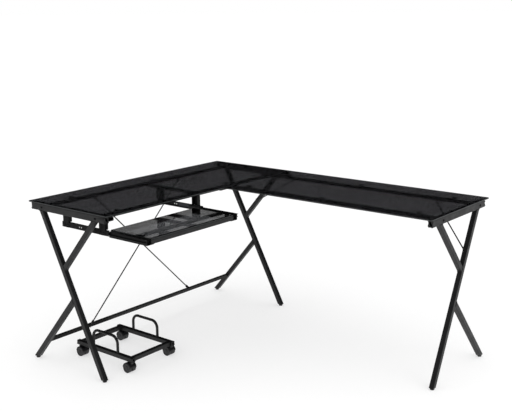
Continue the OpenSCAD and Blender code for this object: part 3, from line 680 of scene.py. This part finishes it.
@dataclass(frozen=True)
class TubePlug:
    """A moulded end cap: a rounded plate with a shallow recess, drawn outwards along +Z."""

    thickness: float = 2.0 * MM
    rounding: float = 0.9 * MM
    corner: float = 2.0 * MM
    border: float = 3.2 * MM
    recess: float = 0.5 * MM
    wall: float = 1.65 * MM

    def mesh(self, width: float, height: float, depth: float) -> bmesh.types.BMesh:
        """The cap for a tube of this section, with a plug of this depth below it.

        Args:
            width: the tube's width along X.
            height: the tube's height along Y.
            depth: how far the plug reaches into the tube.

        Returns:
            A new bmesh.
        """
        bm = bmesh.new()
        bmesh.ops.create_cube(bm, size=1.0)
        bmesh.ops.scale(bm, vec=(width, height, self.thickness), verts=bm.verts)
        bmesh.ops.translate(bm, vec=(0.0, 0.0, self.thickness / 2.0), verts=bm.verts)
        uprights = [e for e in bm.edges if abs(e.verts[0].co.z - e.verts[1].co.z) > self.thickness / 2.0]
        bevel(bm, uprights, self.corner, 4)
        rim = [e for e in bm.edges if min(v.co.z for v in e.verts) > self.thickness * 0.9]
        bevel(bm, rim, self.rounding, 3)
        face = max(bm.faces, key=lambda f: (round(f.calc_center_median().z, 6), f.calc_area()))
        bmesh.ops.inset_region(bm, faces=[face], thickness=self.border, use_even_offset=True)
        bmesh.ops.inset_region(
            bm, faces=[face], thickness=self.recess, depth=-self.recess, use_even_offset=True
        )
        plug = block(
            Vector((width - 2.0 * self.wall, height - 2.0 * self.wall, depth)), self.rounding / 2.0, 2
        )
        absorb(bm, moved(plug, Matrix.Translation((0.0, 0.0, -depth / 2.0))))
        return bm


@dataclass(frozen=True)
class WeldBead:
    """A rippled bead of weld between two points."""

    radius: float = 1.7 * MM
    ripple_pitch: float = 2.2 * MM
    ripple: float = 0.14
    sides: int = 8

    def mesh(self, start: Vector, end: Vector) -> bmesh.types.BMesh:
        """The bead, as long as the gap between the points.

        Args:
            start: one end.
            end: the other end.

        Returns:
            A new bmesh.
        """
        length = (end - start).length
        bm = bmesh.new()
        bmesh.ops.create_cone(
            bm,
            cap_ends=True,
            segments=self.sides,
            radius1=self.radius,
            radius2=self.radius,
            depth=length,
        )
        runs = [e for e in bm.edges if abs(e.verts[0].co.z - e.verts[1].co.z) > length / 2.0]
        cuts = max(4, 2 * round(length / self.ripple_pitch))
        bmesh.ops.subdivide_edges(bm, edges=runs, cuts=cuts, use_grid_fill=True)
        for vert in bm.verts:
            step = round((vert.co.z / length + 0.5) * (cuts + 1))
            swell = 1.0 + self.ripple * (1.0 if step % 2 else -1.0)
            ends = min(step, cuts + 1 - step)
            swell *= 0.55 if ends == 0 else 1.0
            vert.co.x *= swell
            vert.co.y *= swell
        middle_point = (start + end) / 2.0
        return moved(bm, along(middle_point, middle_point + (end - start)))


FRAME_BOLT = Fastener()
SMALL_SCREW = Fastener(3.8 * MM, 2.0 * MM, 1.3 * MM, 2.0 * MM)
END_CAP = TubePlug()
BEAD = WeldBead()


# ---- glass ----


@dataclass
class GlassSheet:
    """A flat sheet of glass with ground, bevelled edges."""

    node: str
    body: Body
    finish: Finish
    arris: float = 0.9 * MM

    def build(self) -> Object:
        """Makes the sheet.

        Returns:
            The piece's object.
        """
        bm = merged_copy(self.node)
        rims = [e for e in bm.edges if self.is_rim(e)]
        bevel(bm, rims, self.arris, 2)
        for face in bm.faces:
            face.material_index = 0 if abs(face.normal.z) > 0.999 else 1
        return publish(f"{self.node}_panel", bm, self.body.value, [self.finish, GROUND_EDGE], [self.node])

    def is_rim(self, edge: Any) -> bool:
        """Whether an edge lies between a flat face and the sheet's side."""
        level = abs(edge.verts[0].co.z - edge.verts[1].co.z) < self.arris / 4.0
        return level and edge.is_manifold and edge.calc_face_angle() > CORNER_ANGLE


@dataclass
class GlassPads:
    """The rubber pads between the rails and the tops."""

    node: str = "glass_pads"
    waist: float = 0.86
    groove: float = 0.6 * MM
    lip: float = 1.2 * MM

    def profile(self, radius: float, height: float) -> list[tuple[float, float]]:
        """A pad's outline: a flange, a waist, and a cup with a hollow face.

        Args:
            radius: the pad's outer radius.
            height: its height.

        Returns:
            (radius, height) points.
        """
        return [
            (0.0, 0.0),
            (radius - self.groove, 0.0),
            (radius, self.groove),
            (radius, self.lip),
            (radius - self.groove, self.lip + self.groove),
            (radius * self.waist, height * 0.35),
            (radius * self.waist, height * 0.62),
            (radius - self.groove, height - self.lip - self.groove),
            (radius, height - self.lip),
            (radius, height - self.groove),
            (radius - self.groove, height),
            (radius - 3.0 * self.lip, height),
            (radius - 4.0 * self.lip, height - self.groove),
            (0.0, height - self.groove),
        ]

    def build(self) -> Object:
        """Makes all the pads as one piece.

        Returns:
            The piece's object.
        """
        bm = bmesh.new()
        for low, high in node_islands(self.node):
            centre = (low + high) / 2.0
            pad = lathe(self.profile((high.x - low.x) / 2.0, high.z - low.z), 40)
            absorb(bm, moved(pad, Matrix.Translation((centre.x, centre.y, low.z))))
        return publish("rubber_pads", bm, Body.DESK.value, [RUBBER], [self.node])


# ---- frames ----


@dataclass
class XFrame:
    """One leg: a top bar, a long slanted leg, and two short legs welded to it."""

    side: str
    rounding: float = 2.0 * MM
    shortest: float = 31.0 * MM

    def build(self) -> list[Object]:
        """Makes the frame's tubes and its weld beads.

        Returns:
            The pieces' objects.
        """
        tubes = [f"{self.side}_{kind}" for kind in ("top_bar", "long_leg", "upper_leg", "lower_leg")]
        pieces = [soft_piece(n, Body.DESK.value, FRAME_COAT, self.rounding, self.shortest) for n in tubes]
        bm = bmesh.new()
        welded_ends = (("long_leg", True), ("upper_leg", True), ("upper_leg", False), ("lower_leg", True))
        for kind, top_end in welded_ends:
            self.add_seam(bm, f"{self.side}_{kind}", top_end)
        pieces.append(publish(f"{self.side}_frame_welds", bm, Body.DESK.value, [FRAME_COAT]))
        return pieces

    def add_seam(self, bm: bmesh.types.BMesh, node: str, top_end: bool) -> None:
        """Lays beads round one end of a leg.

        Args:
            bm: the mesh that receives them.
            node: the leg's CAD node.
            top_end: whether it is the leg's upper end.
        """
        low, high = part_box(node)
        across = 1 if high.y - low.y < high.x - low.x else 0
        source = merged_copy(node)
        seams = []
        for level in (low[across], high[across]):
            outline = {
                tuple(round(c, 5) for c in v.co)
                for v in source.verts
                if abs(v.co[across] - level) < MERGE_DISTANCE * 10.0
            }
            ends = sorted(outline, key=lambda p: p[2], reverse=top_end)[:2]
            seams.append(sorted(ends, key=lambda p: p[1 - across]))
        source.free()
        (near_a, near_b), (far_a, far_b) = ([Vector(p) for p in seam] for seam in seams)
        for start, end in ((near_a, near_b), (far_a, far_b), (near_a, far_a), (near_b, far_b)):
            absorb(bm, BEAD.mesh(start, end))


@dataclass
class BarCaps:
    """The end caps of the three top bars."""

    depth: float = 14.0 * MM
    bars: tuple[str, ...] = ("left_top_bar", "corner_top_bar", "right_top_bar")

    def build(self) -> Object:
        """Makes all six caps as one piece.

        Returns:
            The piece's object.
        """
        bm = bmesh.new()
        for bar in self.bars:
            low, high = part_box(bar)
            run = 0 if high.x - low.x > high.y - low.y else 1
            width = (high - low)[1 - run]
            height = high.z - low.z
            for end in (low, high):
                outwards = Vector((0.0, 0.0, 0.0))
                outwards[run] = -1.0 if end is low else 1.0
                at = (low + high) / 2.0
                at[run] = end[run]
                cap = END_CAP.mesh(width, height, self.depth)
                absorb(bm, moved(cap, facing(at, outwards)))
        return publish("top_bar_caps", bm, Body.DESK.value, [POLYTHENE], ["bar_end_caps"])


def facing(at: Vector, outwards: Vector) -> Matrix:
    """The transform of a cap: +Z points outwards, X runs level and Y runs up.

    Args:
        at: where the cap's plane goes.
        outwards: the level direction that it faces.

    Returns:
        A 4 by 4 matrix.
    """
    up = Vector((0.0, 0.0, 1.0))
    level = up.cross(outwards).normalized()
    turn = Matrix((level, up, outwards.normalized())).transposed().to_4x4()
    return Matrix.Translation(at) @ turn


@dataclass
class FootGlides:
    """The six glides, each a round pad with a slanted plug."""

    node: str = "foot_glides"
    rounding: float = 1.4 * MM

    def build(self) -> Object:
        """Makes the glides as one piece.

        Returns:
            The piece's object.
        """
        bm = merged_copy(self.node)
        floor = [e for e in bm.edges if max(v.co.z for v in e.verts) < MERGE_DISTANCE * 10.0]
        bevel(bm, floor, self.rounding, 3)
        return publish("floor_glides", bm, Body.DESK.value, [POLYTHENE], [self.node])


@dataclass
class FastenerGroup:
    """The screws of one CAD node, each with its head where the node's solid is widest."""

    node: str
    body: Body
    kind: Fastener

    def build(self) -> Object:
        """Makes the screws as one piece.

        Returns:
            The piece's object.
        """
        bm = bmesh.new()
        source = merged_copy(self.node)
        for low, high in islands(source):
            sizes = high - low
            usual = sorted(sizes)[1]
            run = max(range(3), key=lambda i: abs(sizes[i] - usual))
            head_first = self.head_is_low(source, low, high, run)
            inwards = Vector((0.0, 0.0, 0.0))
            inwards[run] = 1.0 if head_first else -1.0
            seat = (low + high) / 2.0
            seat[run] = low[run] + self.kind.head_height if head_first else high[run] - self.kind.head_height
            shank = sizes[run] - self.kind.head_height
            absorb(bm, moved(self.kind.mesh(shank), along(seat, seat - inwards)))
        source.free()
        return publish(f"{self.node}_finished", bm, self.body.value, [BLACK_OXIDE], [self.node])

    def head_is_low(self, source: bmesh.types.BMesh, low: Vector, high: Vector, run: int) -> bool:
        """Whether a screw's head is at the low end of its box.

        Args:
            source: the mesh that holds the screw.
            low: the lowest corner of the screw's box.
            high: the highest corner.
            run: the axis along the screw.

        Returns:
            True when the head is at the low end.
        """
        centre = (low + high) / 2.0
        wide = 0.8 * self.kind.head_radius
        inside = [
            v.co
            for v in source.verts
            if all(low[i] - MM / 10 < v.co[i] < high[i] + MM / 10 for i in range(3))
        ]
        rim = [c for c in inside if max(abs(c[i] - centre[i]) for i in range(3) if i != run) > wide]
        return sum(c[run] for c in rim) / len(rim) < centre[run]


# ---- rails, rods and brackets ----


@dataclass
class Underframe:
    """Everything of steel between the frames: rails, cross bars, stretcher, rods and brackets."""

    rail_rounding: float = 1.5 * MM
    sheet_rounding: float = 0.7 * MM
    rod_rounding: float = 0.6 * MM
    shortest: float = 31.0 * MM

    def build(self) -> list[Object]:
        """Makes the pieces.

        Returns:
            Their objects.
        """
        rails = ("left_crossbar", "left_rear_rail", "left_front_rail", "mid_crossbar")
        rails += ("right_rear_rail", "right_front_rail")
        pieces = [soft_piece(n, Body.DESK.value, SHADED_RAIL_COAT, self.rail_rounding, self.shortest) for n in rails]
        pieces.append(soft_piece("stretcher", Body.DESK.value, FRAME_COAT, self.rail_rounding, self.shortest))
        pieces.append(soft_piece("rail_brackets", Body.DESK.value, SHADED_RAIL_COAT, self.sheet_rounding, 10.0 * MM))
        for node in ("brace_rod_outer", "brace_rod_inner", "knee_rod_corner", "knee_rod_right"):
            pieces.append(soft_piece(node, Body.DESK.value, FRAME_COAT, self.rod_rounding, 9.0 * MM))
        dress("rail_inserts", ZINC)
        return pieces


@dataclass
class TraySide:
    """One side of the tray's suspension: hangers, slide channel, ball cage and runner."""

    side: Side
    fold: float = 0.8 * MM
    slide_edge: float = 0.4 * MM
    shortest: float = 19.0 * MM

    def build(self) -> list[Object]:
        """Makes the pieces.

        Returns:
            Their objects.
        """
        name = self.side.value
        desk = Body.DESK.value
        pieces = [
            soft_piece(f"hangers_{name}", desk, SHADED_RAIL_COAT, self.fold, self.shortest),
            soft_piece(f"slide_channel_{name}", desk, SHADED_RAIL_COAT, self.slide_edge, self.shortest),
            soft_piece(f"slide_runner_{name}", Body.TRAY.value, SHADED_RAIL_COAT, self.slide_edge, self.shortest),
        ]
        dress(f"ball_cage_{name}", ZINC)
        return pieces


# ---- keyboard tray ----


@dataclass
class KeyboardTray:
    """The tray: a tube frame with end caps, arms to the runners, and a glass panel."""

    rounding: float = 1.8 * MM
    fold: float = 0.7 * MM
    plug_depth: float = 14.0 * MM
    shortest: float = 31.0 * MM

    def build(self) -> list[Object]:
        """Makes the pieces.

        Returns:
            Their objects.
        """
        tray = Body.TRAY.value
        pieces = [soft_piece(n, tray, FRAME_COAT, self.rounding, self.shortest) for n in self.tubes()]
        pieces.append(soft_piece("tray_arms", tray, SHADED_RAIL_COAT, self.fold, 12.0 * MM))
        pieces.append(self.caps())
        pieces.append(GlassSheet("tray_glass", Body.TRAY, TRAY_GLASS).build())
        return pieces

    def tubes(self) -> list[str]:
        """The CAD nodes that are the frame's tubes."""
        return [n for n in frame["nodes"] if n.startswith("tray_") and n.endswith(("_tube", "_tubes"))]

    def caps(self) -> Object:
        """Makes the four end caps.

        Returns:
            The piece's object.
        """
        bm = bmesh.new()
        boxes = node_islands("tray_tube_caps")
        mid_y = sum(middle(b).y for b in boxes) / len(boxes)
        for low, high in boxes:
            side = 1.0 if (low.y + high.y) / 2.0 > mid_y else -1.0
            at = (low + high) / 2.0
            at.y = (high.y - END_CAP.thickness) if side > 0.0 else (low.y + END_CAP.thickness)
            cap = END_CAP.mesh(high.x - low.x, high.z - low.z, self.plug_depth)
            absorb(bm, moved(cap, facing(at, Vector((0.0, side, 0.0)))))
        return publish("tray_caps", bm, Body.TRAY.value, [GREY_POLYTHENE], ["tray_tube_caps"])


# ---- tower trolley ----


@dataclass
class GuardLoop:
    """A bent rod that keeps the tower on the trolley."""

    node: str
    sides: int = 20
    bend_radius: float = 34.0 * MM
    bend_steps: int = 14
    collar: float = 1.3
    collar_height: float = 2.2 * MM

    def build(self) -> Object:
        """Makes the loop by running a ring up, over and down.

        Returns:
            The piece's object.
        """
        low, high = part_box(self.node)
        radius = (high.y - low.y) / 2.0
        mid_y = (low.y + high.y) / 2.0
        left, right = low.x + radius, high.x - radius
        bend_z = high.z - radius - self.bend_radius
        bm = bmesh.new()
        ring = bmesh.ops.create_circle(
            bm,
            cap_ends=False,
            segments=self.sides,
            radius=radius,
            matrix=Matrix.Translation((left, mid_y, low.z)),
        )
        edges = list({e for v in ring["verts"] for e in v.link_edges})
        edges = self.run(bm, edges, Vector((0.0, 0.0, bend_z - low.z)))
        edges = self.bend(bm, edges, Vector((left + self.bend_radius, mid_y, bend_z)))
        edges = self.run(bm, edges, Vector((right - left - 2.0 * self.bend_radius, 0.0, 0.0)))
        edges = self.bend(bm, edges, Vector((right - self.bend_radius, mid_y, bend_z)))
        self.run(bm, edges, Vector((0.0, 0.0, low.z - bend_z)))
        bmesh.ops.holes_fill(bm, edges=[e for e in bm.edges if e.is_boundary], sides=self.sides)
        bmesh.ops.recalc_face_normals(bm, faces=bm.faces)
        tube_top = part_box("trolley_near_tube")[1].z
        for x in (left, right):
            absorb(bm, moved(self.weld_ring(radius), Matrix.Translation((x, mid_y, tube_top))))
        return publish(f"{self.node}_finished", bm, Body.TROLLEY.value, [FRAME_COAT], [self.node])

    def run(self, bm: bmesh.types.BMesh, edges: list[Any], step: Vector) -> list[Any]:
        """Carries the ring along a straight.

        Args:
            bm: the loop's mesh.
            edges: the ring's edges.
            step: how far it goes.

        Returns:
            The new ring's edges.
        """
        grown = bmesh.ops.extrude_edge_only(bm, edges=edges)["geom"]
        verts = [g for g in grown if isinstance(g, bmesh.types.BMVert)]
        bmesh.ops.translate(bm, vec=step, verts=verts)
        return [g for g in grown if isinstance(g, bmesh.types.BMEdge)]

    def bend(self, bm: bmesh.types.BMesh, edges: list[Any], centre: Vector) -> list[Any]:
        """Carries the ring round a quarter bend.

        Args:
            bm: the loop's mesh.
            edges: the ring's edges.
            centre: the bend's centre.

        Returns:
            The new ring's edges.
        """
        verts = list({v for e in edges for v in e.verts})
        turned = bmesh.ops.spin(
            bm,
            geom=verts + edges,
            cent=centre,
            axis=(0.0, 1.0, 0.0),
            dvec=(0.0, 0.0, 0.0),
            angle=math.pi / 2.0,
            steps=self.bend_steps,
            use_duplicate=False,
        )["geom_last"]
        return [g for g in turned if isinstance(g, bmesh.types.BMEdge)]

    def weld_ring(self, radius: float) -> bmesh.types.BMesh:
        """The ring of weld where the rod enters the tube."""
        outer, height = radius * self.collar, self.collar_height
        profile = [
            (radius * 0.9, 0.0),
            (outer, 0.0),
            (outer * 0.93, height * 0.45),
            (radius + 0.3 * (outer - radius), height * 0.85),
            (radius * 0.9, height),
            (radius * 0.9, 0.0),
        ]
        return lathe(profile, 32)


@dataclass
class Caster:
    """A hooded twin-wheel caster."""

    corner: Corner
    web: float = 5.0 * MM
    wheel_gap: float = 0.6 * MM
    hood_gap: float = 1.0 * MM
    hood_wall: float = 2.0 * MM
    skirt: float = 2.0 * MM
    web_drop: float = 8.0 * MM
    boss_radius: float = 8.0 * MM
    stem_radius: float = 4.0 * MM
    stem_length: float = 12.0 * MM
    tread_groove: float = 0.7 * MM
    arc_steps: int = 40

    def joint(self, kind: str) -> dict[str, Any]:
        """The caster's swivel or spin joint."""
        return next(j for j in frame["joints"] if j["name"] == f"{kind}_{self.corner.value}")

    def build(self) -> list[Object]:
        """Makes the hood and the wheels.

        Returns:
            Their objects.
        """
        swivel, spin = self.joint("swivel"), self.joint("spin")
        axle = Vector(spin["pos_m"])
        stem = Vector(swivel["pos_m"])
        return [
            self.hood(stem, axle, swivel["child"]),
            self.wheels(axle, Vector(spin["axis"]), spin["child"]),
        ]

    def half_width(self) -> float:
        """Half of the hood's width across the wheels."""
        low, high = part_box(f"caster_hood_{self.corner.value}")
        return (high.y - low.y) / 2.0

    def wheel_width(self) -> float:
        """The width of one wheel."""
        return self.half_width() - self.web / 2.0 - self.wheel_gap

    def hood(self, stem: Vector, axle: Vector, body: str) -> Object:
        """Makes the hood: a rounded cover over both wheels, the web, the boss and the stem.

        Args:
            stem: a point on the swivel's axis, at the tube's underside.
            axle: the middle of the axle.
            body: the hood's body.

        Returns:
            The piece's object.
        """
        trail = Vector((axle.x - stem.x, axle.y - stem.y, 0.0))
        # In the hood's own frame +X trails, +Y is the axle and +Z is up, from the axle's middle.
        turn = Matrix.Rotation(math.atan2(trail.y, trail.x), 4, "Z")
        place = Matrix.Translation(axle) @ turn
        bm = bmesh.new()
        absorb(bm, moved(self.cover(axle.z), place))
        absorb(bm, moved(self.web_plate(axle.z), place))
        top = stem.z - axle.z
        absorb(bm, moved(self.boss(top, axle.z), place @ Matrix.Translation((-trail.length, 0.0, 0.0))))
        pin = lathe([(0.0, 0.0), (self.stem_radius, 0.0), (self.stem_radius, self.stem_length - MM)], 32)
        cap = [e for e in pin.edges if e.is_boundary]
        bmesh.ops.holes_fill(pin, edges=cap, sides=0)
        absorb(bm, moved(pin, place @ Matrix.Translation((-trail.length, 0.0, top - MM))), 1)
        node = f"caster_hood_{self.corner.value}"
        return publish(f"{node}_finished", bm, body, [HOOD_NYLON, ZINC], [node])

    def cover(self, wheel_radius: float) -> bmesh.types.BMesh:
        """The cover: its cross-section swept over the wheels.

        Args:
            wheel_radius: the wheels' radius.

        Returns:
            A new bmesh about the middle of the axle.
        """
        inner = wheel_radius + self.hood_gap
        outer = inner + self.hood_wall
        half = self.half_width()
        shoulder = self.hood_wall * 1.4
        section = [(inner, -half), (outer - shoulder * 0.6, -half)]
        for step in range(5):
            angle = step / 4.0 * math.pi / 2.0
            section.append(
                (outer - shoulder * 0.6 * (1.0 - math.sin(angle)), -half + shoulder * (1.0 - math.cos(angle)))
            )
        section += [(radius, -across) for radius, across in reversed(section)]
        start = math.asin(self.skirt / outer)
        bm = bmesh.new()
        verts = [
            bm.verts.new((radius * math.cos(start), across, radius * math.sin(start)))
            for radius, across in section
        ]
        edges = [bm.edges.new(pair) for pair in zip(verts, verts[1:] + verts[:1])]
        bmesh.ops.spin(
            bm,
            geom=verts + edges,
            cent=(0.0, 0.0, 0.0),
            axis=(0.0, -1.0, 0.0),
            dvec=(0.0, 0.0, 0.0),
            angle=math.pi - 2.0 * start,
            steps=self.arc_steps,
            use_duplicate=False,
        )
        bmesh.ops.remove_doubles(bm, verts=bm.verts, dist=MERGE_DISTANCE)
        bmesh.ops.holes_fill(bm, edges=[e for e in bm.edges if e.is_boundary], sides=0)
        bmesh.ops.recalc_face_normals(bm, faces=bm.faces)
        return bm

    def web_plate(self, wheel_radius: float) -> bmesh.types.BMesh:
        """The plate between the wheels that carries the axle.

        Args:
            wheel_radius: the wheels' radius.

        Returns:
            A new bmesh about the middle of the axle.
        """
        radius = wheel_radius + self.hood_gap + self.hood_wall / 2.0
        bm = bmesh.new()
        bmesh.ops.create_cone(
            bm, cap_ends=True, segments=64, radius1=radius, radius2=radius, depth=self.web
        )
        turn = Matrix.Rotation(math.pi / 2.0, 3, "X")
        bmesh.ops.rotate(bm, verts=bm.verts, cent=(0.0, 0.0, 0.0), matrix=turn)
        cut = bmesh.ops.bisect_plane(
            bm,
            geom=list(bm.verts) + list(bm.edges) + list(bm.faces),
            plane_co=(0.0, 0.0, -self.web_drop),
            plane_no=(0.0, 0.0, -1.0),
            clear_outer=True,
        )
        bmesh.ops.holes_fill(bm, edges=[e for e in bm.edges if e.is_boundary], sides=0)
        bmesh.ops.recalc_face_normals(bm, faces=bm.faces)
        del cut
        return bm

    def boss(self, top: float, wheel_radius: float) -> bmesh.types.BMesh:
        """The boss round the stem, stepped in at its top face and reaching down to the cover.

        Args:
            top: the tube's underside above the axle.
            wheel_radius: the wheels' radius.

        Returns:
            A new bmesh about the stem, from the height of the axle.
        """
        face = top - MM
        foot = wheel_radius * 0.86
        radius = self.boss_radius
        profile = [
            (0.0, foot),
            (radius, foot),
            (radius, face - 2.2 * MM),
            (radius - 0.8 * MM, face - 1.6 * MM),
            (radius - 0.8 * MM, face - 0.5 * MM),
            (radius - 1.3 * MM, face),
            (0.0, face),
        ]
        bm = lathe(profile, 40)
        self.clear_wheels(bm, wheel_radius)
        return bm

    def clear_wheels(self, bm: bmesh.types.BMesh, wheel_radius: float) -> None:
        """Raises the boss's underside so that it follows the cover over the wheels."""
        reach = wheel_radius + self.hood_gap
        trail = self.trail()
        for vert in bm.verts:
            ahead = vert.co.x - trail
            floor = math.sqrt(max(reach * reach - ahead * ahead, 0.0))
            if vert.co.z < floor:
                vert.co.z = floor

    def trail(self) -> float:
        """How far the axle trails behind the stem."""
        swivel, spin = self.joint("swivel")["pos_m"], self.joint("spin")["pos_m"]
        return math.hypot(spin[0] - swivel[0], spin[1] - swivel[1])

    def wheels(self, axle: Vector, axis: Vector, body: str) -> Object:
        """Makes both wheels and the axle.

        Args:
            axle: the middle of the axle.
            axis: the axle's direction.
            body: the wheels' body.

        Returns:
            The piece's object.
        """
        bm = bmesh.new()
        inner = self.web / 2.0 + self.wheel_gap
        for side in (1.0, -1.0):
            wheel = lathe(self.wheel_profile(axle.z), 64)
            absorb(bm, moved(wheel, along(axle + axis * side * inner, axle + axis * side)))
        pin = lathe([(0.0, -inner), (3.0 * MM, -inner), (3.0 * MM, inner), (0.0, inner)], 24)
        absorb(bm, moved(pin, along(axle, axle + axis)), 1)
        node = f"caster_wheels_{self.corner.value}"
        return publish(f"{node}_finished", bm, body, [WHEEL_NYLON, ZINC], [node])

    def wheel_profile(self, radius: float) -> list[tuple[float, float]]:
        """A wheel's outline: a grooved tread, a dished face and a raised hub.

        Args:
            radius: the wheel's radius.

        Returns:
            (radius, distance from the web) points.
        """
        wide, groove = self.wheel_width(), self.tread_groove
        edge = 1.2 * MM
        return [
            (0.0, 0.0),
            (radius - edge, 0.0),
            (radius, edge),
            (radius, wide * 0.3),
            (radius - groove, wide * 0.36),
            (radius - groove, wide * 0.44),
            (radius, wide * 0.5),
            (radius, wide - edge),
            (radius - edge * 0.4, wide - edge * 0.4),
            (radius - edge, wide),
            (radius * 0.84, wide),
            (radius * 0.8, wide - 1.1 * MM),
            (radius * 0.44, wide - 1.6 * MM),
            (radius * 0.4, wide - 0.5 * MM),
            (radius * 0.34, wide),
            (radius * 0.16, wide),
            (radius * 0.13, wide - 0.7 * MM),
            (0.0, wide - 0.7 * MM),
        ]


@dataclass
class TowerTrolley:
    """The trolley: side and cross tubes, end caps, guard loops and casters."""

    rounding: float = 1.8 * MM
    plug_depth: float = 4.0 * MM
    shortest: float = 31.0 * MM

    def build(self) -> list[Object]:
        """Makes the pieces.

        Returns:
            Their objects.
        """
        body = Body.TROLLEY.value
        tubes = ("trolley_near_tube", "trolley_far_tube", "trolley_cross_tubes")
        pieces = [soft_piece(n, body, FRAME_COAT, self.rounding, self.shortest) for n in tubes]
        pieces.append(self.caps())
        pieces += [GuardLoop(n).build() for n in ("guard_loop_near", "guard_loop_far")]
        for corner in Corner:
            pieces += Caster(corner).build()
        return pieces

    def caps(self) -> Object:
        """Makes the four end caps.

        Returns:
            The piece's object.
        """
        bm = bmesh.new()
        boxes = node_islands("trolley_tube_caps")
        mid_x = sum(middle(b).x for b in boxes) / len(boxes)
        for low, high in boxes:
            side = 1.0 if (low.x + high.x) / 2.0 > mid_x else -1.0
            at = (low + high) / 2.0
            at.x = (high.x - END_CAP.thickness) if side > 0.0 else (low.x + END_CAP.thickness)
            cap = END_CAP.mesh(high.y - low.y, high.z - low.z, self.plug_depth)
            absorb(bm, moved(cap, facing(at, Vector((side, 0.0, 0.0)))))
        return publish("trolley_caps", bm, Body.TROLLEY.value, [POLYTHENE], ["trolley_tube_caps"])


# ---- the studio ----


@dataclass
class Studio:
    """A pale glowing floor, soft light and the camera."""

    floor_side: float = 400.0
    floor_hex: str = "BCBCBC"
    floor_glow: float = 0.52
    floor_roughness: float = 0.9
    sky_strength: float = 1.0
    softbox_side: float = 3.0
    key_above_top: tuple[float, float, float] = (5.2, -0.6, 2.0)
    key_power: float = 55.0
    fill_above_top: tuple[float, float, float] = (0.0, -5.0, 2.6)
    fill_power: float = 25.0
    aim_height: float = 0.5
    camera_from_corner: tuple[float, float, float] = (3.2737, -3.6984, 1.6071)
    camera_turn: float = 38.95
    camera_dip: float = 9.24
    camera_roll: float = -0.49
    lens_mm: float = 62.29
    sensor_mm: float = 36.0
    shift_y: float = -0.1067
    far_clip: float = 200.0

    def build(self) -> None:
        """Makes the floor, the lights and the camera."""
        bpy.context.scene.view_settings.view_transform = "Standard"
        self.make_floor()
        self.make_sky()
        desk_top = Vector((0.0, 0.0, Vector(CAD_BOX[1]).z))
        side = self.softbox_side
        self.make_light("key_light", desk_top + Vector(self.key_above_top), side, self.key_power)
        self.make_light("fill_light", desk_top + Vector(self.fill_above_top), side, self.fill_power)
        self.make_camera()

    def make_floor(self) -> None:
        """Lays the floor: a light table's matt white sheet, which glows a little."""
        bm = bmesh.new()
        bmesh.ops.create_grid(bm, x_segments=1, y_segments=1, size=self.floor_side / 2.0)
        mesh = bpy.data.meshes.new("floor")
        bm.to_mesh(mesh)
        bm.free()
        paint = bpy.data.materials.new("Matt_white_floor")
        paint.use_nodes = True
        shader = paint.node_tree.nodes["Principled BSDF"]
        shader.inputs["Base Color"].default_value = linear_rgba(self.floor_hex)
        shader.inputs["Roughness"].default_value = self.floor_roughness
        shader.inputs["Specular IOR Level"].default_value = 0.0
        shader.inputs["Emission Color"].default_value = linear_rgba("FFFFFF")
        shader.inputs["Emission Strength"].default_value = self.floor_glow
        mesh.materials.append(paint)
        floor = bpy.data.objects.new("floor", mesh)
        bpy.context.scene.collection.objects.link(floor)

    def make_sky(self) -> None:
        """Surrounds the scene with even white light, which mirrors don't see."""
        world = bpy.data.worlds.new("studio_sky")
        world.use_nodes = True
        sky = world.node_tree.nodes["Background"]
        sky.inputs["Color"].default_value = linear_rgba("FFFFFF")
        sky.inputs["Strength"].default_value = self.sky_strength
        world.cycles_visibility.glossy = False
        bpy.context.scene.world = world

    def make_light(self, name: str, at: Vector, side: float, power: float) -> None:
        """Hangs a square softbox that faces the desk.

        Args:
            name: the light's name.
            at: where it hangs.
            side: the length of its side.
            power: its power in watts.
        """
        data = bpy.data.lights.new(name, "AREA")
        data.shape = "SQUARE"
        data.size = side
        data.energy = power
        light = bpy.data.objects.new(name, data)
        light.location = at
        light.rotation_euler = (Vector((0.0, 0.0, self.aim_height)) - at).to_track_quat("-Z", "Y").to_euler()
        light.visible_camera = False
        bpy.context.scene.collection.objects.link(light)

    def make_camera(self) -> None:
        """Sets up the camera, placed from the outer corner of the L."""
        low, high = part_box("glass_left")
        corner = Vector((low.x, high.y, 0.0))
        data = bpy.data.cameras.new("camera")
        data.lens = self.lens_mm
        data.sensor_width = self.sensor_mm
        data.shift_y = self.shift_y
        data.clip_end = self.far_clip
        camera = bpy.data.objects.new("camera", data)
        turn = Matrix.Rotation(math.radians(self.camera_turn), 4, "Z")
        dip = Matrix.Rotation(math.radians(90.0 - self.camera_dip), 4, "X")
        roll = Matrix.Rotation(math.radians(self.camera_roll), 4, "Z")
        camera.matrix_world = Matrix.Translation(corner + Vector(self.camera_from_corner)) @ turn @ dip @ roll
        bpy.context.scene.collection.objects.link(camera)
        bpy.context.scene.camera = camera


def main() -> None:
    """Builds the desk, piece by piece, and the studio."""
    logging.basicConfig(level=logging.INFO, format="%(name)s: %(message)s")
    Studio().build()
    builders: list[Callable[[], Any]] = [
        GlassSheet("glass_left", Body.DESK, TOP_GLASS).build,
        GlassSheet("glass_right", Body.DESK, TOP_GLASS).build,
        GlassPads().build,
        *(XFrame(side).build for side in ("left", "corner", "right")),
        BarCaps().build,
        FootGlides().build,
        FastenerGroup("frame_bolts", Body.DESK, FRAME_BOLT).build,
        FastenerGroup("desk_screws", Body.DESK, SMALL_SCREW).build,
        FastenerGroup("tray_screws", Body.TRAY, SMALL_SCREW).build,
        Underframe().build,
        *(TraySide(side).build for side in Side),
        KeyboardTray().build,
        TowerTrolley().build,
    ]
    for build in builders:
        build()


if __name__ == "__main__":
    main()
